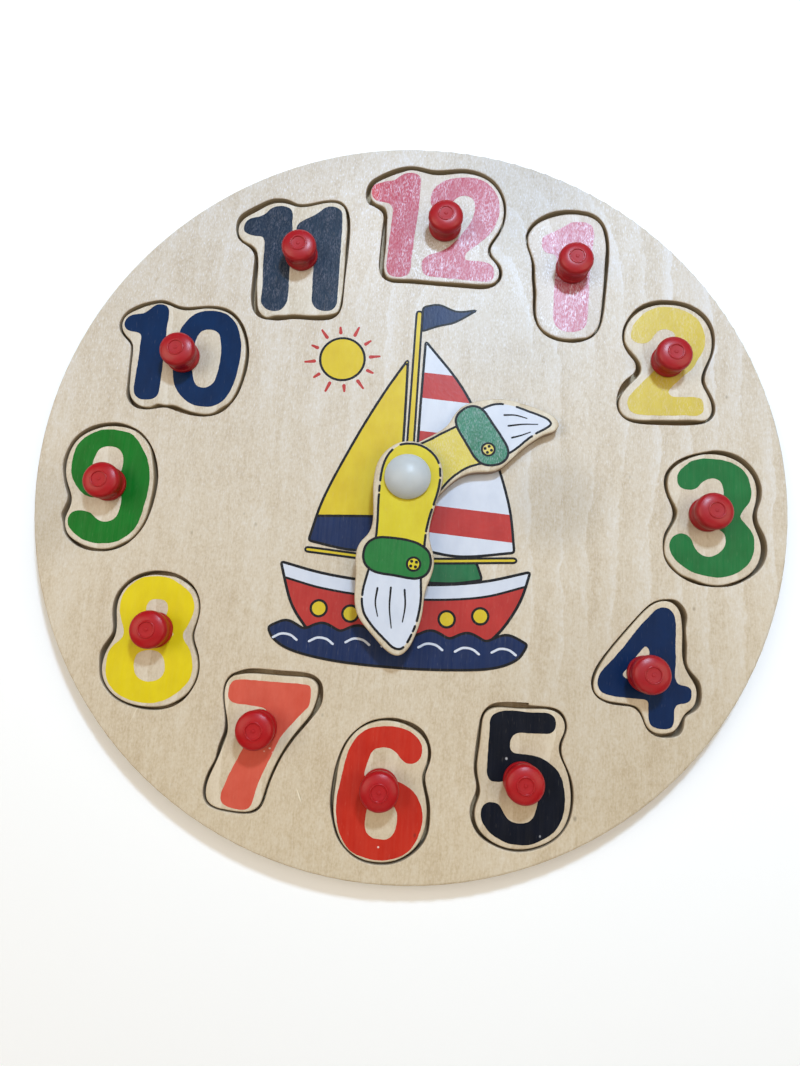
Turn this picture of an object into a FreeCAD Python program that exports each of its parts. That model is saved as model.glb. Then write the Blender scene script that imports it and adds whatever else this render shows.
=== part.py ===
import FreeCAD
import Part
import math
import os

# Wooden teaching clock: a round two-layer plywood dial with twelve lift-out
# number pieces, each with its own plastic knob, and two hand-set hands on a
# plastic hub.
#
# Frame: millimetres. The dial lies flat on z = 0. +Z points out of the face,
# +Y towards 12 o'clock and +X towards 3 o'clock. The origin is the hub axis on
# the back face.

V = FreeCAD.Vector
os.makedirs("parts", exist_ok=True)

# ---------------------------------------------------------------- dimensions
DIAL_R = 150.0            # radius of both dial layers
BACK_T = 3.0              # backing board thickness
FRONT_T = 6.0             # front board thickness, the depth of the wells
RIM_ROUND = 0.9           # rounding of the dial's outer edges
WELL_ROUND = 0.45         # rounding of the well edges at the face

PIECE_REST_GAP = 0.05     # air between a piece and the backing board
PIECE_T = 5.95            # thickness of a number piece, flush with the face
PIECE_ROUND = 0.6         # rounding of a piece's upper edge
PIECE_ROUND_LOW = 0.3     # rounding of a piece's lower edge

KNOB_BASE_R = 6.9         # flange that sits on the number piece
KNOB_WAIST_R = 6.4
KNOB_HEAD_R = 7.2
KNOB_H = 10.1             # height of the knob above the piece
KNOB_RING_R = 3.05        # moulded ring on the crown
KNOB_STEM_R = 2.6         # spigot that locates the knob in the piece
KNOB_STEM_L = 3.2
KNOB_PILOT_R = 1.42       # pilot hole for the screw
FIT = 0.04                # radial air of parts that are fixed together

SCREW_R = 1.38            # shank radius of the knob screw
SCREW_HEAD_R = 2.8
SCREW_HEAD_H = 1.6
SCREW_LEN = 10.0
SCREW_RECESS = 0.3        # screw head below the back of the piece
SCREW_SINK_PLAY = 0.25    # radial air round the screw head in its countersink

HUB_STEM_R = 3.0          # axle of the hands
HAND_BORE_R = 3.07        # running fit on the axle
HUB_CAP_R = 8.9
HUB_CAP_H = 5.6           # height of the dome over its rim's underside
HUB_RIM_H = 1.0
HUB_STEM_BORE_R = 1.8     # hollow axle, closed by the rear rivet
WASHER_R = 7.0
WASHER_T = 0.5
AXIAL_GAP = 0.05          # end float of the hands

HAND_T = 3.8              # hand thickness
HAND_ROUND = 0.9          # rounding of a hand's upper edge
HAND_ROUND_LOW = 0.4

RIVET_HEAD_R = 8.0        # rear rivet head
RIVET_HEAD_H = 1.2
RIVET_SEAT_R = 8.4        # counterbore in the backing board
RIVET_SEAT_H = 1.7

# ---------------------------------------------------------------- levels
Z_FACE = BACK_T + FRONT_T                       # the dial's face
Z_PIECE = BACK_T + PIECE_REST_GAP               # underside of the pieces
Z_PIECE_TOP = Z_PIECE + PIECE_T
Z_LOW_WASHER = Z_FACE
Z_HOUR = Z_LOW_WASHER + WASHER_T + AXIAL_GAP
Z_MID_WASHER = Z_HOUR + HAND_T + AXIAL_GAP
Z_MINUTE = Z_MID_WASHER + WASHER_T + AXIAL_GAP
Z_CAP = Z_MINUTE + HAND_T + AXIAL_GAP

# ---------------------------------------------------------------- outlines
# Each number piece is a smooth closed curve through these points (mm). The
# well that holds it is cut a little larger, and the piece lies loose in it.
PIECE_OUTLINE = {
    1: [
        (64.5, 122.4), (59.2, 122.1), (53.5, 120.4), (49, 118.1), (45.8, 115.1), (44.1, 111.7), (43.9, 108),
        (45.4, 103.1), (47.1, 97.3), (47.4, 92.3), (48.1, 86.1), (48.2, 79.1), (48.9, 73.5), (50.4, 70.1),
        (53.5, 67.4), (57.3, 65.8), (62.3, 65.2), (66.7, 65.8), (69.9, 66.5), (72.5, 68.6), (74.4, 72),
        (75.3, 76.9), (75.8, 83.9), (76.3, 92.4), (76.6, 101.5), (76.9, 107.3), (76.2, 113), (74.9, 117.2),
        (72.8, 119.9), (69.3, 121.7)],
    2: [
        (101.6, 83.1), (95.5, 81.8), (90.5, 78.8), (87, 74.6), (85.3, 69.9), (85.6, 65), (88.1, 61.2),
        (91.6, 56.5), (92, 53), (89.6, 49.3), (85.7, 44.7), (83.4, 39.9), (83.7, 36), (86, 33.2),
        (90.1, 32.1), (98, 32.4), (107.8, 33), (114.8, 33.4), (118.2, 33.8), (120.3, 36.4), (120.5, 40.4),
        (118.5, 45.5), (116.6, 50.2), (117.3, 54.6), (119.9, 60.9), (120.9, 67.1), (120.1, 72.8), (117.5, 77.4),
        (113.4, 80.8), (107.9, 82.8)],
    3: [
        (120, 19.7), (114, 18.5), (109, 16), (104.9, 12.5), (103.2, 8.9), (103.2, 4.1), (104.9, -0.4),
        (106.7, -4.6), (105.9, -8.4), (103.2, -13.4), (101.8, -18.3), (102.2, -22.6), (104.5, -26.2), (108.6, -29.7),
        (112.6, -31.1), (117.5, -32.5), (123.3, -32.7), (128.8, -31), (133.7, -28.3), (137.1, -24.5), (138.8, -20.2),
        (138.9, -15), (137.1, -9.6), (136.1, -4.8), (137.1, -0.2), (137.9, 5), (137.1, 10), (134.7, 14),
        (130.8, 17.3), (125.9, 19.2)],
    4: [
        (101.9, -40.2), (98.5, -41.2), (94.5, -44.4), (89.5, -50.2), (84.2, -56.8), (79.6, -63.1), (76.7, -68.4),
        (75.4, -72.9), (75.9, -76.2), (78.2, -78.4), (82.4, -79.5), (88.7, -80), (92, -81), (94, -83.9),
        (95.7, -87.7), (98.2, -89.5), (102, -89.7), (105.4, -88.5), (107.5, -85.9), (109.5, -82.2), (112.6, -79.2),
        (113.9, -75.7), (113.6, -71.8), (111.3, -67.9), (109.3, -63.8), (108.6, -57.9), (108.7, -53), (108.4, -47.5),
        (107.4, -43.4), (105.2, -41)],
    5: [
        (36.9, -85.4), (34.8, -87.6), (34, -91.6), (33.5, -99.2), (33, -106.6), (33.8, -111.3), (34.5, -115.8),
        (33.4, -119.6), (33, -123.8), (34.2, -127.4), (37, -130.5), (41.3, -132.9), (46.3, -134.1), (51.7, -133.9),
        (57.3, -132.2), (62, -129.5), (65.2, -126.1), (67.1, -121.8), (67.9, -116.3), (67.4, -110.2), (65.6, -104.5),
        (63.3, -99.4), (63.3, -95.8), (64.8, -91.8), (64.8, -88.2), (63.1, -85.6), (60.2, -84.2), (54.6, -84),
        (47.5, -84.4), (40.9, -84.4)],
    6: [
        (0.2, -92.3), (-4.7, -92.7), (-8.7, -94.2), (-12.4, -96.7), (-15.2, -100.1), (-17.2, -104.3), (-18.4, -109.6),
        (-18.9, -116.3), (-19.1, -124.4), (-18.3, -129.2), (-16.5, -134), (-14.1, -137.5), (-10.7, -140.1), (-6.9, -141.7),
        (-2.1, -142.3), (2.5, -141.9), (6.8, -140.4), (10.4, -137.9), (13, -134.8), (14.7, -130.7), (15.4, -126),
        (15.1, -121), (13.5, -114.9), (13, -111.2), (14.1, -107.2), (14.6, -103.5), (14, -100), (12.1, -97.1),
        (8.8, -94.7), (4.7, -93)],
    7: [
        (-60.3, -79.6), (-62.8, -81.4), (-63.9, -84.4), (-63.8, -88.5), (-62.1, -95.3), (-61.3, -100.7), (-62.2, -105),
        (-64.2, -111.6), (-66.5, -118.3), (-66.9, -122.6), (-66, -125.5), (-63.5, -127.4), (-59.3, -128.3), (-53.1, -128.7),
        (-49.1, -128), (-46.7, -126.1), (-45.4, -122.5), (-43.9, -116.4), (-42, -111), (-38.5, -103.8), (-34, -97),
        (-30.5, -91.9), (-29.1, -87.9), (-28.5, -84.1), (-28.9, -81.3), (-30.8, -79.3), (-34.1, -78.6), (-40.7, -78.6),
        (-48.7, -78.5), (-55.8, -78.7)],
    8: [
        (-94, -43.5), (-99.7, -44.2), (-104.1, -46.3), (-107.3, -49.3), (-109.2, -53.2), (-109.7, -57.5), (-108.8, -64.1),
        (-109, -68.5), (-110.9, -72.9), (-112.1, -77.2), (-112, -82.1), (-110.3, -86), (-107.3, -89.4), (-103.1, -91.9),
        (-97.8, -93.4), (-91.4, -93.7), (-86.1, -92.9), (-81.8, -90.8), (-78.2, -87.6), (-76.1, -83.6), (-75.3, -78.8),
        (-75.9, -74.5), (-77.9, -69.8), (-79, -65.9), (-78.2, -61.4), (-77.6, -56.4), (-78.5, -51.9), (-80.7, -48.3),
        (-84.2, -45.7), (-89, -43.8)],
    9: [
        (-120.7, 15.8), (-125.7, 15.1), (-130.5, 13.1), (-134, 10.6), (-136.6, 7), (-138, 2.7), (-138.4, -2),
        (-137.5, -7.3), (-135.4, -12), (-134.1, -15.8), (-134.4, -19.3), (-135.4, -23.1), (-135, -26.8), (-133.3, -29.9),
        (-130.2, -32.2), (-125.5, -34.1), (-120.4, -34.9), (-116.4, -34.5), (-111.2, -32.1), (-107.7, -29.6), (-105.1, -25.9),
        (-103.3, -21.3), (-102.4, -15), (-102, -8.8), (-102.6, -2.2), (-104, 3.6), (-105.3, 7.5), (-108.1, 11.2),
        (-111.6, 13.9), (-115.8, 15.4)],
    10: [
        (-109.9, 70.7), (-114.1, 69.5), (-119.7, 66.7), (-122.9, 64.3), (-124.2, 61.4), (-123.9, 58.3), (-121.9, 55.3),
        (-119.3, 52.7), (-118.2, 49.2), (-118, 42.9), (-117.6, 36.6), (-117.1, 31.3), (-115.7, 28), (-112.9, 25.6),
        (-109.7, 24.7), (-107, 25.1), (-104.9, 26.3), (-102.3, 26.1), (-98.4, 26.2), (-94, 24.9), (-88.9, 23.6),
        (-83.9, 23.3), (-81.1, 24.2), (-78.7, 26.1), (-75.7, 28.5), (-73.5, 32.4), (-71.9, 37.9), (-71, 44.6),
        (-70.9, 51.3), (-72.1, 57.2), (-74.2, 62), (-77.1, 65.9), (-80.6, 68.3), (-85, 69.5), (-90.2, 69.5),
        (-96.2, 68.4), (-100.7, 68.5), (-105.8, 70.2)],
    11: [
        (-64, 120.5), (-67.7, 119.5), (-72.6, 116.2), (-77.3, 112.9), (-79.5, 110.2), (-80.2, 106.9), (-79.5, 103.9),
        (-77.3, 101.5), (-74, 99.9), (-71.5, 97.5), (-70.4, 94), (-69.8, 88.2), (-69.6, 82.2), (-68.8, 75.4),
        (-67.8, 70.7), (-66, 68.2), (-63.6, 67.2), (-61.1, 68), (-57.3, 68.4), (-53, 69), (-48.3, 69),
        (-41.6, 69.3), (-37, 70.1), (-34.3, 71.6), (-33.5, 74.5), (-33.1, 80.6), (-33.1, 88.6), (-33.2, 95.2),
        (-33.4, 102), (-33.5, 110), (-34.3, 116), (-35.5, 119.5), (-37.8, 121.4), (-41.1, 121.9), (-46, 121),
        (-51.8, 119.3), (-56.1, 119.1), (-60.1, 120.2)],
    12: [
        (-10, 139.1), (-14.6, 137.2), (-20.5, 134), (-23.7, 131.3), (-24.8, 127.9), (-24.1, 124.6), (-21.8, 122.5),
        (-18.8, 121.2), (-17.1, 118.5), (-16.7, 113.5), (-16.4, 104.9), (-16.6, 96.1), (-16.2, 91.3), (-14.6, 88.6),
        (-11.3, 87.8), (-4.9, 88), (1.6, 87.8), (8.9, 87.6), (19.5, 87.5), (26.8, 87.6), (30.4, 88.7),
        (32.1, 91.2), (32.1, 94.6), (30.1, 98.1), (27.6, 101.4), (27.3, 104.8), (29.3, 109.1), (32, 114.5),
        (33.1, 120), (32.7, 125.4), (30.8, 130.5), (27.8, 134.6), (23.6, 137.5), (18.6, 139), (12.5, 139.1),
        (5.9, 138), (0.3, 138.1), (-5.2, 139.4)],
}

WELL_OUTLINE = {
    1: [
        (64.4, 124.3), (58.1, 124), (53.3, 122.7), (48.9, 120.3), (45.5, 117.1), (43.5, 113.5), (42.9, 109.6),
        (43.9, 105.1), (45.7, 99.1), (46.1, 92.2), (46.8, 85.5), (47, 78.8), (47.8, 73.5), (49.7, 69.4),
        (52.3, 66.6), (56.2, 64.6), (60.8, 63.8), (65.9, 64), (69.8, 65.4), (73, 67.8), (75, 71.3),
        (76.2, 76.3), (77, 84.1), (77.7, 94.3), (78.2, 101.8), (78.1, 109.9), (77.2, 115.1), (75.4, 119.2),
        (72.8, 122), (69, 123.7)],
    2: [
        (101.6, 85), (95.2, 83.7), (90.5, 81), (86.7, 76.2), (84.5, 70.9), (84.4, 65.9), (86.7, 60.5),
        (89.8, 55.8), (89.6, 52.8), (86.3, 49.3), (83.2, 44.3), (82.3, 39.2), (83.3, 34.9), (86.1, 32),
        (91, 30.6), (97.3, 30.5), (105, 30.7), (114.4, 31.6), (119.2, 33.3), (121.6, 36.3), (121.9, 40.5),
        (119.9, 45.6), (117.9, 50.4), (118.6, 54.9), (121.3, 62.3), (122.2, 68.8), (121.2, 74.6), (118.5, 79.2),
        (114.2, 82.6), (108.3, 84.6)],
    3: [
        (120, 21), (113.6, 19.3), (107.9, 16.8), (104.2, 13.7), (101.9, 9.8), (101.6, 5.2), (103.2, 0.1),
        (104.9, -4.8), (104.3, -8.8), (101.8, -13.9), (101.2, -19.7), (102, -24), (104.9, -28), (109.5, -31.2),
        (115, -33.1), (121.8, -33.5), (127.7, -32.6), (133.2, -29.9), (138, -26), (140.6, -21.8), (141.5, -16.9),
        (140.6, -12.2), (138.3, -7.4), (137.9, -2.9), (139.5, 2.3), (139.8, 7.2), (138.3, 12.1), (135.2, 16.5),
        (130.9, 19.6), (125.8, 21.1)],
    4: [
        (101.9, -39.6), (97.3, -41.2), (92.4, -45.8), (85, -54.7), (78.6, -63.1), (75.2, -69.2), (74.5, -73.9),
        (76.1, -77.5), (79.6, -79.7), (86.2, -80.6), (91, -81.3), (93.4, -84.2), (95.7, -88.7), (99.1, -90.8),
        (103.7, -90.9), (107.7, -89.4), (109.1, -86.5), (109.8, -83.2), (112.6, -81.1), (115.1, -78.4), (115.8, -73.8),
        (114.7, -69.4), (111.9, -66.3), (110.4, -63.6), (110.3, -59.7), (110.3, -55), (110, -50.1), (110.5, -46),
        (109.1, -42.1), (106.2, -39.7)],
    5: [
        (36.3, -84.3), (33.9, -87.4), (32.8, -92.6), (31.9, -102.1), (32.1, -108.8), (33.1, -114.1), (32, -118),
        (31.1, -122), (32.2, -126.5), (34.6, -130.1), (38.8, -132.8), (44.4, -134.6), (50.2, -134.9), (55.8, -133.6),
        (61.2, -130.9), (65.1, -127.3), (67.6, -122.9), (68.8, -117.1), (68.6, -111.3), (66.9, -105.8), (64.2, -99.7),
        (64.2, -95.9), (65.7, -91.3), (65.4, -87.4), (63.4, -84.5), (60.1, -83.2), (54.9, -83), (50.2, -82.9),
        (45.4, -82.75), (40.2, -82.75)],
    6: [
        (0.2, -91.2), (-4.6, -91.9), (-9.1, -93.6), (-12.8, -96.4), (-16, -100.2), (-18.1, -104.7), (-19.6, -110.5),
        (-20.4, -117.7), (-20.3, -124.2), (-19, -129.6), (-16.9, -134.8), (-14.1, -138.2), (-10.4, -141), (-6.2, -142.6),
        (-1.1, -143.1), (3.3, -142.6), (8.1, -140.7), (11.8, -138), (14.8, -134.5), (16.3, -130.8), (16.7, -125.7),
        (16.2, -120.3), (14.5, -114.5), (14.1, -110.7), (15.3, -106.6), (15.7, -102.6), (14.7, -98.9), (12.6, -95.5),
        (9.5, -93.2), (5.3, -91.8)],
    7: [
        (-60.7, -78.7), (-63.4, -81), (-64.5, -84.3), (-64.2, -89.1), (-62.6, -96.6), (-62.6, -100.9), (-64.1, -106.2),
        (-64.8, -110.8), (-66.6, -114.9), (-67.8, -119.3), (-67.8, -123.6), (-66.3, -126.4), (-63.3, -128.1), (-58, -129),
        (-51.5, -129.2), (-47.8, -128.3), (-45.6, -126.1), (-44.2, -121.4), (-41.7, -112.7), (-38.9, -106.4), (-34.6, -99.7),
        (-28.8, -91.9), (-26.8, -88.1), (-26.5, -83.8), (-27.4, -80.4), (-29.8, -78.1), (-33.5, -77), (-40.4, -76.8),
        (-50.3, -76.7), (-56.7, -77.2)],
    8: [
        (-94.1, -41.9), (-100.1, -42.8), (-104.5, -44.9), (-108.2, -48.4), (-110.6, -52.5), (-111.3, -57.2), (-110.5, -62.6),
        (-110, -66.6), (-111.8, -70.4), (-113.7, -75.1), (-113.4, -78.9), (-112.2, -84.3), (-109.9, -87.8), (-105.7, -91.4),
        (-100.5, -93.6), (-94.5, -94.7), (-88.2, -94.5), (-83.3, -93), (-79.4, -90.3), (-76.5, -86.1), (-74.8, -81.2),
        (-74.8, -76.3), (-76.3, -71.2), (-78.1, -66.5), (-77.7, -62), (-77, -56.3), (-77.9, -51.6), (-80.2, -47.6),
        (-84, -44.5), (-88.9, -42.5)],
    9: [
        (-120.8, 17.3), (-125.5, 16.7), (-130.5, 15), (-134.5, 12.2), (-137.5, 8.4), (-139.1, 4), (-139.8, -1.5),
        (-139, -5.6), (-137.3, -10.7), (-135.8, -14.5), (-136.3, -18.3), (-137.2, -22.2), (-136.2, -25), (-135.1, -28.7),
        (-132.8, -31.7), (-129.1, -34.2), (-124.4, -35.6), (-118.9, -35.8), (-114.1, -34.8), (-109.7, -32.5), (-106.2, -29),
        (-103.5, -24.6), (-101.6, -18.7), (-100.5, -11.4), (-100.4, -4.6), (-101.6, 1.2), (-103.9, 6.8), (-107.1, 11.3),
        (-110.9, 14.5), (-115.4, 16.4)],
    10: [
        (-110.1, 72), (-114.2, 71), (-119.9, 68.5), (-123, 66.1), (-124.8, 63.2), (-125.4, 60), (-124.4, 57),
        (-121.9, 54.1), (-119.6, 51.6), (-118.9, 48.3), (-118.7, 40.4), (-118.4, 32.8), (-117.9, 28.9), (-116.2, 26.2),
        (-113.5, 24.3), (-110.1, 23.7), (-105.5, 24.3), (-101.5, 25), (-96.7, 23.9), (-90.2, 22.4), (-85.2, 22.2),
        (-80.8, 23.1), (-77.4, 25), (-74.6, 28.1), (-72.1, 32.6), (-70.6, 38), (-69.5, 44.6), (-69.5, 50.5),
        (-70.5, 56.3), (-72.4, 61.4), (-75, 65.5), (-78.2, 68.5), (-81.8, 70.2), (-86.3, 70.8), (-92.3, 70.3),
        (-98.1, 69.6), (-102.1, 70.2), (-106.1, 71.7)],
    11: [
        (-64.2, 122.5), (-68.3, 121.6), (-72.8, 119), (-77.9, 115.6), (-80.4, 112.9), (-81.3, 109.5), (-81, 105.7),
        (-79.6, 102.4), (-76.7, 100), (-73.5, 97.6), (-72, 94.7), (-71.8, 90.6), (-71.7, 84.5), (-71.6, 77.8),
        (-70.8, 72.5), (-69.2, 69), (-66.7, 66.9), (-63, 66.1), (-58.1, 66.1), (-53.9, 66.9), (-47.8, 67.1),
        (-40.7, 67.2), (-36.6, 68.1), (-34.2, 70), (-32.9, 73.1), (-32.5, 79.3), (-32.4, 88.9), (-32.1, 97.7),
        (-32.1, 106.3), (-32.5, 113), (-33.7, 118.1), (-35.5, 121.1), (-38.2, 122.8), (-41.8, 123), (-47, 121.9),
        (-52.3, 120.4), (-56.1, 120.5), (-60.1, 122.1)],
    12: [
        (-24.4, 121.7), (-21.1, 120.1), (-18.8, 117.9), (-18.3, 113.8), (-18.6, 105.8), (-18.7, 97.4), (-18.3, 91.6),
        (-16.5, 88.1), (-13.2, 86.3), (-8.1, 86.1), (0.3, 86), (10.6, 85.7), (20.5, 85.4), (27.2, 85.7),
        (30.9, 87.4), (33.1, 90.4), (33.5, 94.1), (31.9, 97.7), (29.1, 100.9), (28.2, 103.9), (29.8, 107.8),
        (32.7, 113.7), (33.9, 119.7), (33.7, 125.6), (31.8, 131.2), (28.9, 135.6), (24.5, 138.9), (19.4, 140.8),
        (13.2, 141.2), (6.6, 140.3), (0.7, 140.1), (-4.9, 141.2), (-10.3, 141.1), (-15.7, 139.3), (-21.9, 135.8),
        (-25.3, 132.7), (-26.7, 128.7), (-26.4, 124.7)],
}

# Knob axis of each number piece.
KNOB_AT = {
    1: (62.7, 96.7), 2: (102.6, 57.7), 3: (117.85, -5.3), 4: (94.35, -68.3),
    5: (49.55, -110.05), 6: (-2.4, -116.25), 7: (-49.4, -98.35),
    8: (-93.2, -64.85), 9: (-119.45, -8.7), 10: (-96.45, 47.15),
    11: (-51.7, 95.65), 12: (8.25, 112.8),
}

# The kerf of the well for 5 steps where the saw cut starts and ends.
KERF_STEP = [(38.2, -84.4), (39.4, -83.0), (41.4, -82.35), (44.4, -82.1),
             (51.2, -82.0), (51.35, -82.95), (49.0, -84.4)]

# Closed outlines of the two paddle-shaped hands (mm), hub at the origin.
MINUTE_OUTLINE = [
    (-0.3, 14.6), (4.6, 13.8), (9.0, 11.1), (12.1, 7.3), (13.5, 2.8),
    (13.4, -2.2), (12.2, -7.2), (10.9, -12.4), (9.9, -17.4), (9.7, -21.8),
    (10.5, -25.6), (11.7, -29.2), (12.2, -33.2), (11.5, -37.4), (10.1, -41.6),
    (9.3, -46.4), (9.0, -51.4), (8.0, -56.6), (6.4, -61.4), (4.3, -65.5),
    (1.0, -67.9), (-2.8, -66.8), (-7.6, -62.6), (-12.0, -58.2),
    (-15.2, -54.0), (-16.7, -49.0), (-17.0, -43.6), (-17.2, -38.4),
    (-17.6, -33.6), (-17.4, -29.4), (-15.9, -25.9), (-13.6, -23.0),
    (-12.4, -19.4), (-12.3, -14.8), (-12.7, -9.8), (-13.1, -4.8),
    (-13.0, 0.2), (-12.2, 4.8), (-10.2, 8.8), (-7.4, 11.8), (-4.2, 13.8)]
HOUR_OUTLINE = [
    (3.6, 16.0), (6.9, 18.0), (10.2, 20.1), (13.1, 22.3), (15.2, 25.0),
    (17.0, 28.3), (19.4, 31.3), (22.9, 33.4), (27.4, 34.8), (32.4, 35.7),
    (37.8, 35.7), (43.1, 34.6), (48.5, 33.2), (53.2, 31.6), (56.8, 29.4),
    (58.5, 26.6), (57.2, 24.0), (53.6, 22.2), (49.8, 19.9), (46.0, 16.8),
    (42.4, 13.3), (39.2, 9.9), (36.4, 7.2), (32.8, 5.5), (28.6, 5.0),
    (24.4, 4.3), (20.4, 2.4), (16.8, -0.6), (13.6, -4.2), (10.2, -8.0),
    (5.6, -11.2), (-0.2, -12.5), (-6.4, -10.7), (-11.0, -6.0), (-12.4, 0.4),
    (-10.9, 6.3), (-7.2, 10.7), (-2.0, 13.4)]


# ---------------------------------------------------------------- helpers
def spline_wire(points, z):
    curve = Part.BSplineCurve()
    curve.interpolate(Points=[V(x, y, z) for x, y in points],
                      PeriodicFlag=True)
    return Part.Wire([curve.toShape()])


def prism(points, z, height):
    return Part.Face(spline_wire(points, z)).extrude(V(0, 0, height))


def edges_at(shape, z, skip=None):
    found = []
    for e in shape.Edges:
        b = e.BoundBox
        if abs(b.ZMin - z) < 1e-4 and abs(b.ZMax - z) < 1e-4:
            if skip is None or not skip(e):
                found.append(e)
    return found


def rounded(shape, z, radius, skip=None):
    edges = edges_at(shape, z, skip)
    return shape.makeFillet(radius, edges)


def cyl(r, z0, z1, x=0.0, y=0.0):
    return Part.makeCylinder(r, z1 - z0, V(x, y, z0))


def revolve(profile, x=0.0, y=0.0):
    """Solid of revolution about the vertical line through (x, y).

    profile is a list of segments in the (r, z) half plane; each is
    ("L", p, q) or ("A", p, mid, q)."""
    edges = []
    for seg in profile:
        pts = [V(x + p[0], y, p[1]) for p in seg[1:]]
        if seg[0] == "L":
            edges.append(Part.LineSegment(pts[0], pts[1]).toShape())
        else:
            edges.append(Part.Arc(pts[0], pts[1], pts[2]).toShape())
    face = Part.Face(Part.Wire(Part.__sortEdges__(edges)))
    return face.revolve(V(x, y, 0), V(0, 0, 1), 360.0)


def save(shape, name):
    s = shape
    if s.ShapeType != "Solid":
        assert len(s.Solids) == 1, (name, len(s.Solids))
        s = s.Solids[0]
    assert s.isValid(), name
    s.exportStep("parts/" + name + ".step")
    return s


# ---------------------------------------------------------------- backing board
backing = cyl(DIAL_R, 0.0, BACK_T)
backing = backing.makeFillet(RIM_ROUND, edges_at(backing, 0.0))
backing = backing.cut(cyl(RIVET_SEAT_R, 0.0, RIVET_SEAT_H))
backing = backing.cut(cyl(HUB_STEM_R + FIT, 0.0, BACK_T))
save(backing, "backing_board")

# ---------------------------------------------------------------- front board
front = cyl(DIAL_R, BACK_T, Z_FACE)
front = front.makeFillet(RIM_ROUND, edges_at(front, Z_FACE))
for pts in WELL_OUTLINE.values():
    front = front.cut(prism(pts, BACK_T - 1.0, FRONT_T + 2.0))
for edge in edges_at(front, Z_FACE, skip=lambda e: e.Length > 400.0):
    middle = edge.BoundBox.Center
    try:
        near = [e for e in edges_at(front, Z_FACE)
                if (e.BoundBox.Center - middle).Length < 1.5
                and abs(e.Length - edge.Length) < 8.0]
        soft = front.makeFillet(WELL_ROUND, near)
        if soft.isValid() and len(soft.Solids) == 1:
            front = soft
    except Exception as err:
        print("well edge left sharp at", middle, err)
kerf = Part.Face(Part.makePolygon(
    [V(x, y, BACK_T - 1.0) for x, y in KERF_STEP + KERF_STEP[:1]]))
front = front.cut(kerf.extrude(V(0, 0, FRONT_T + 2.0)))
front = front.cut(cyl(HUB_STEM_R + FIT, BACK_T, Z_FACE))
save(front, "front_board")


# ---------------------------------------------------------------- number pieces
def screw_hole(x, y):
    """Stepped hole of a number piece: knob spigot above, screw below."""
    z0 = Z_PIECE
    hole = cyl(SCREW_R + 0.22, z0 - 1, Z_PIECE_TOP + 1, x, y)
    hole = hole.fuse(cyl(KNOB_STEM_R + FIT, Z_PIECE_TOP - KNOB_STEM_L - 0.1,
                         Z_PIECE_TOP + 1, x, y))
    r1 = SCREW_HEAD_R + SCREW_SINK_PLAY
    hole = hole.fuse(Part.makeCone(r1 + SCREW_RECESS, SCREW_R + 0.22,
                                   SCREW_HEAD_H + SCREW_RECESS + 0.1,
                                   V(x, y, z0 - 0.05)))
    return hole


def knob(x, y, z):
    """Turned spool with a domed head, hollow for the screw."""
    b, w, h = KNOB_BASE_R, KNOB_WAIST_R, KNOB_HEAD_R
    stem_z = -KNOB_STEM_L
    ring = KNOB_RING_R
    pilot_top = 5.6
    p = [
        ("L", (KNOB_PILOT_R, stem_z), (KNOB_STEM_R - 0.3, stem_z)),
        ("L", (KNOB_STEM_R - 0.3, stem_z), (KNOB_STEM_R, stem_z + 0.3)),
        ("L", (KNOB_STEM_R, stem_z + 0.3), (KNOB_STEM_R, 0.0)),
        ("L", (KNOB_STEM_R, 0.0), (b - 0.5, 0.0)),
        ("A", (b - 0.5, 0.0), (b - 0.146, 0.146), (b, 0.5)),
        ("L", (b, 0.5), (b, 1.25)),
        ("A", (b, 1.25), (b - 0.11, 1.62), (b - 0.34, 1.85)),
        ("A", (b - 0.34, 1.85), (w, 3.5), (h - 0.42, 5.15)),
        ("A", (h - 0.42, 5.15), (h - 0.05, 6.1), (h, 7.1)),
        ("A", (h, 7.1), (h - 0.22, 8.15), (h - 0.95, 8.95)),
        ("A", (h - 0.95, 8.95), (4.85, 9.53), (ring + 0.4, 9.8)),
        ("A", (ring + 0.4, 9.8), (ring, KNOB_H), (ring - 0.4, 9.72)),
        ("A", (ring - 0.4, 9.72), (1.7, 9.63), (0.75, 9.6)),
        ("A", (0.75, 9.6), (0.63, 9.77), (0.4, 9.85)),
        ("L", (0.4, 9.85), (0.0, 9.85)),
        ("L", (0.0, 9.85), (0.0, pilot_top + 0.7)),
        ("L", (0.0, pilot_top + 0.7), (0.25, pilot_top + 0.7)),
        ("L", (0.25, pilot_top + 0.7), (KNOB_PILOT_R, pilot_top)),
        ("L", (KNOB_PILOT_R, pilot_top), (KNOB_PILOT_R, stem_z)),
    ]
    q = []
    for seg in p:
        q.append((seg[0],) + tuple((r, z + zz) for r, zz in seg[1:]))
    return revolve(q, x, y)


def screw(x, y):
    """Countersunk wood screw with a cross recess."""
    z0 = Z_PIECE + SCREW_RECESS
    hr, hh, r, ln = SCREW_HEAD_R, SCREW_HEAD_H, SCREW_R, SCREW_LEN
    p = [
        ("L", (0.0, z0), (hr - 0.15, z0)),
        ("L", (hr - 0.15, z0), (hr, z0 + 0.15)),
        ("L", (hr, z0 + 0.15), (r, z0 + hh)),
        ("L", (r, z0 + hh), (r, z0 + ln - 1.6)),
        ("L", (r, z0 + ln - 1.6), (0.25, z0 + ln)),
        ("L", (0.25, z0 + ln), (0.0, z0 + ln)),
        ("L", (0.0, z0 + ln), (0.0, z0)),
    ]
    s = revolve(p, x, y)
    for a, b in ((3.0, 0.6), (0.6, 3.0)):
        s = s.cut(Part.makeBox(a, b, 1.2, V(x - a / 2, y - b / 2, z0 - 0.2)))
    return s


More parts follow.
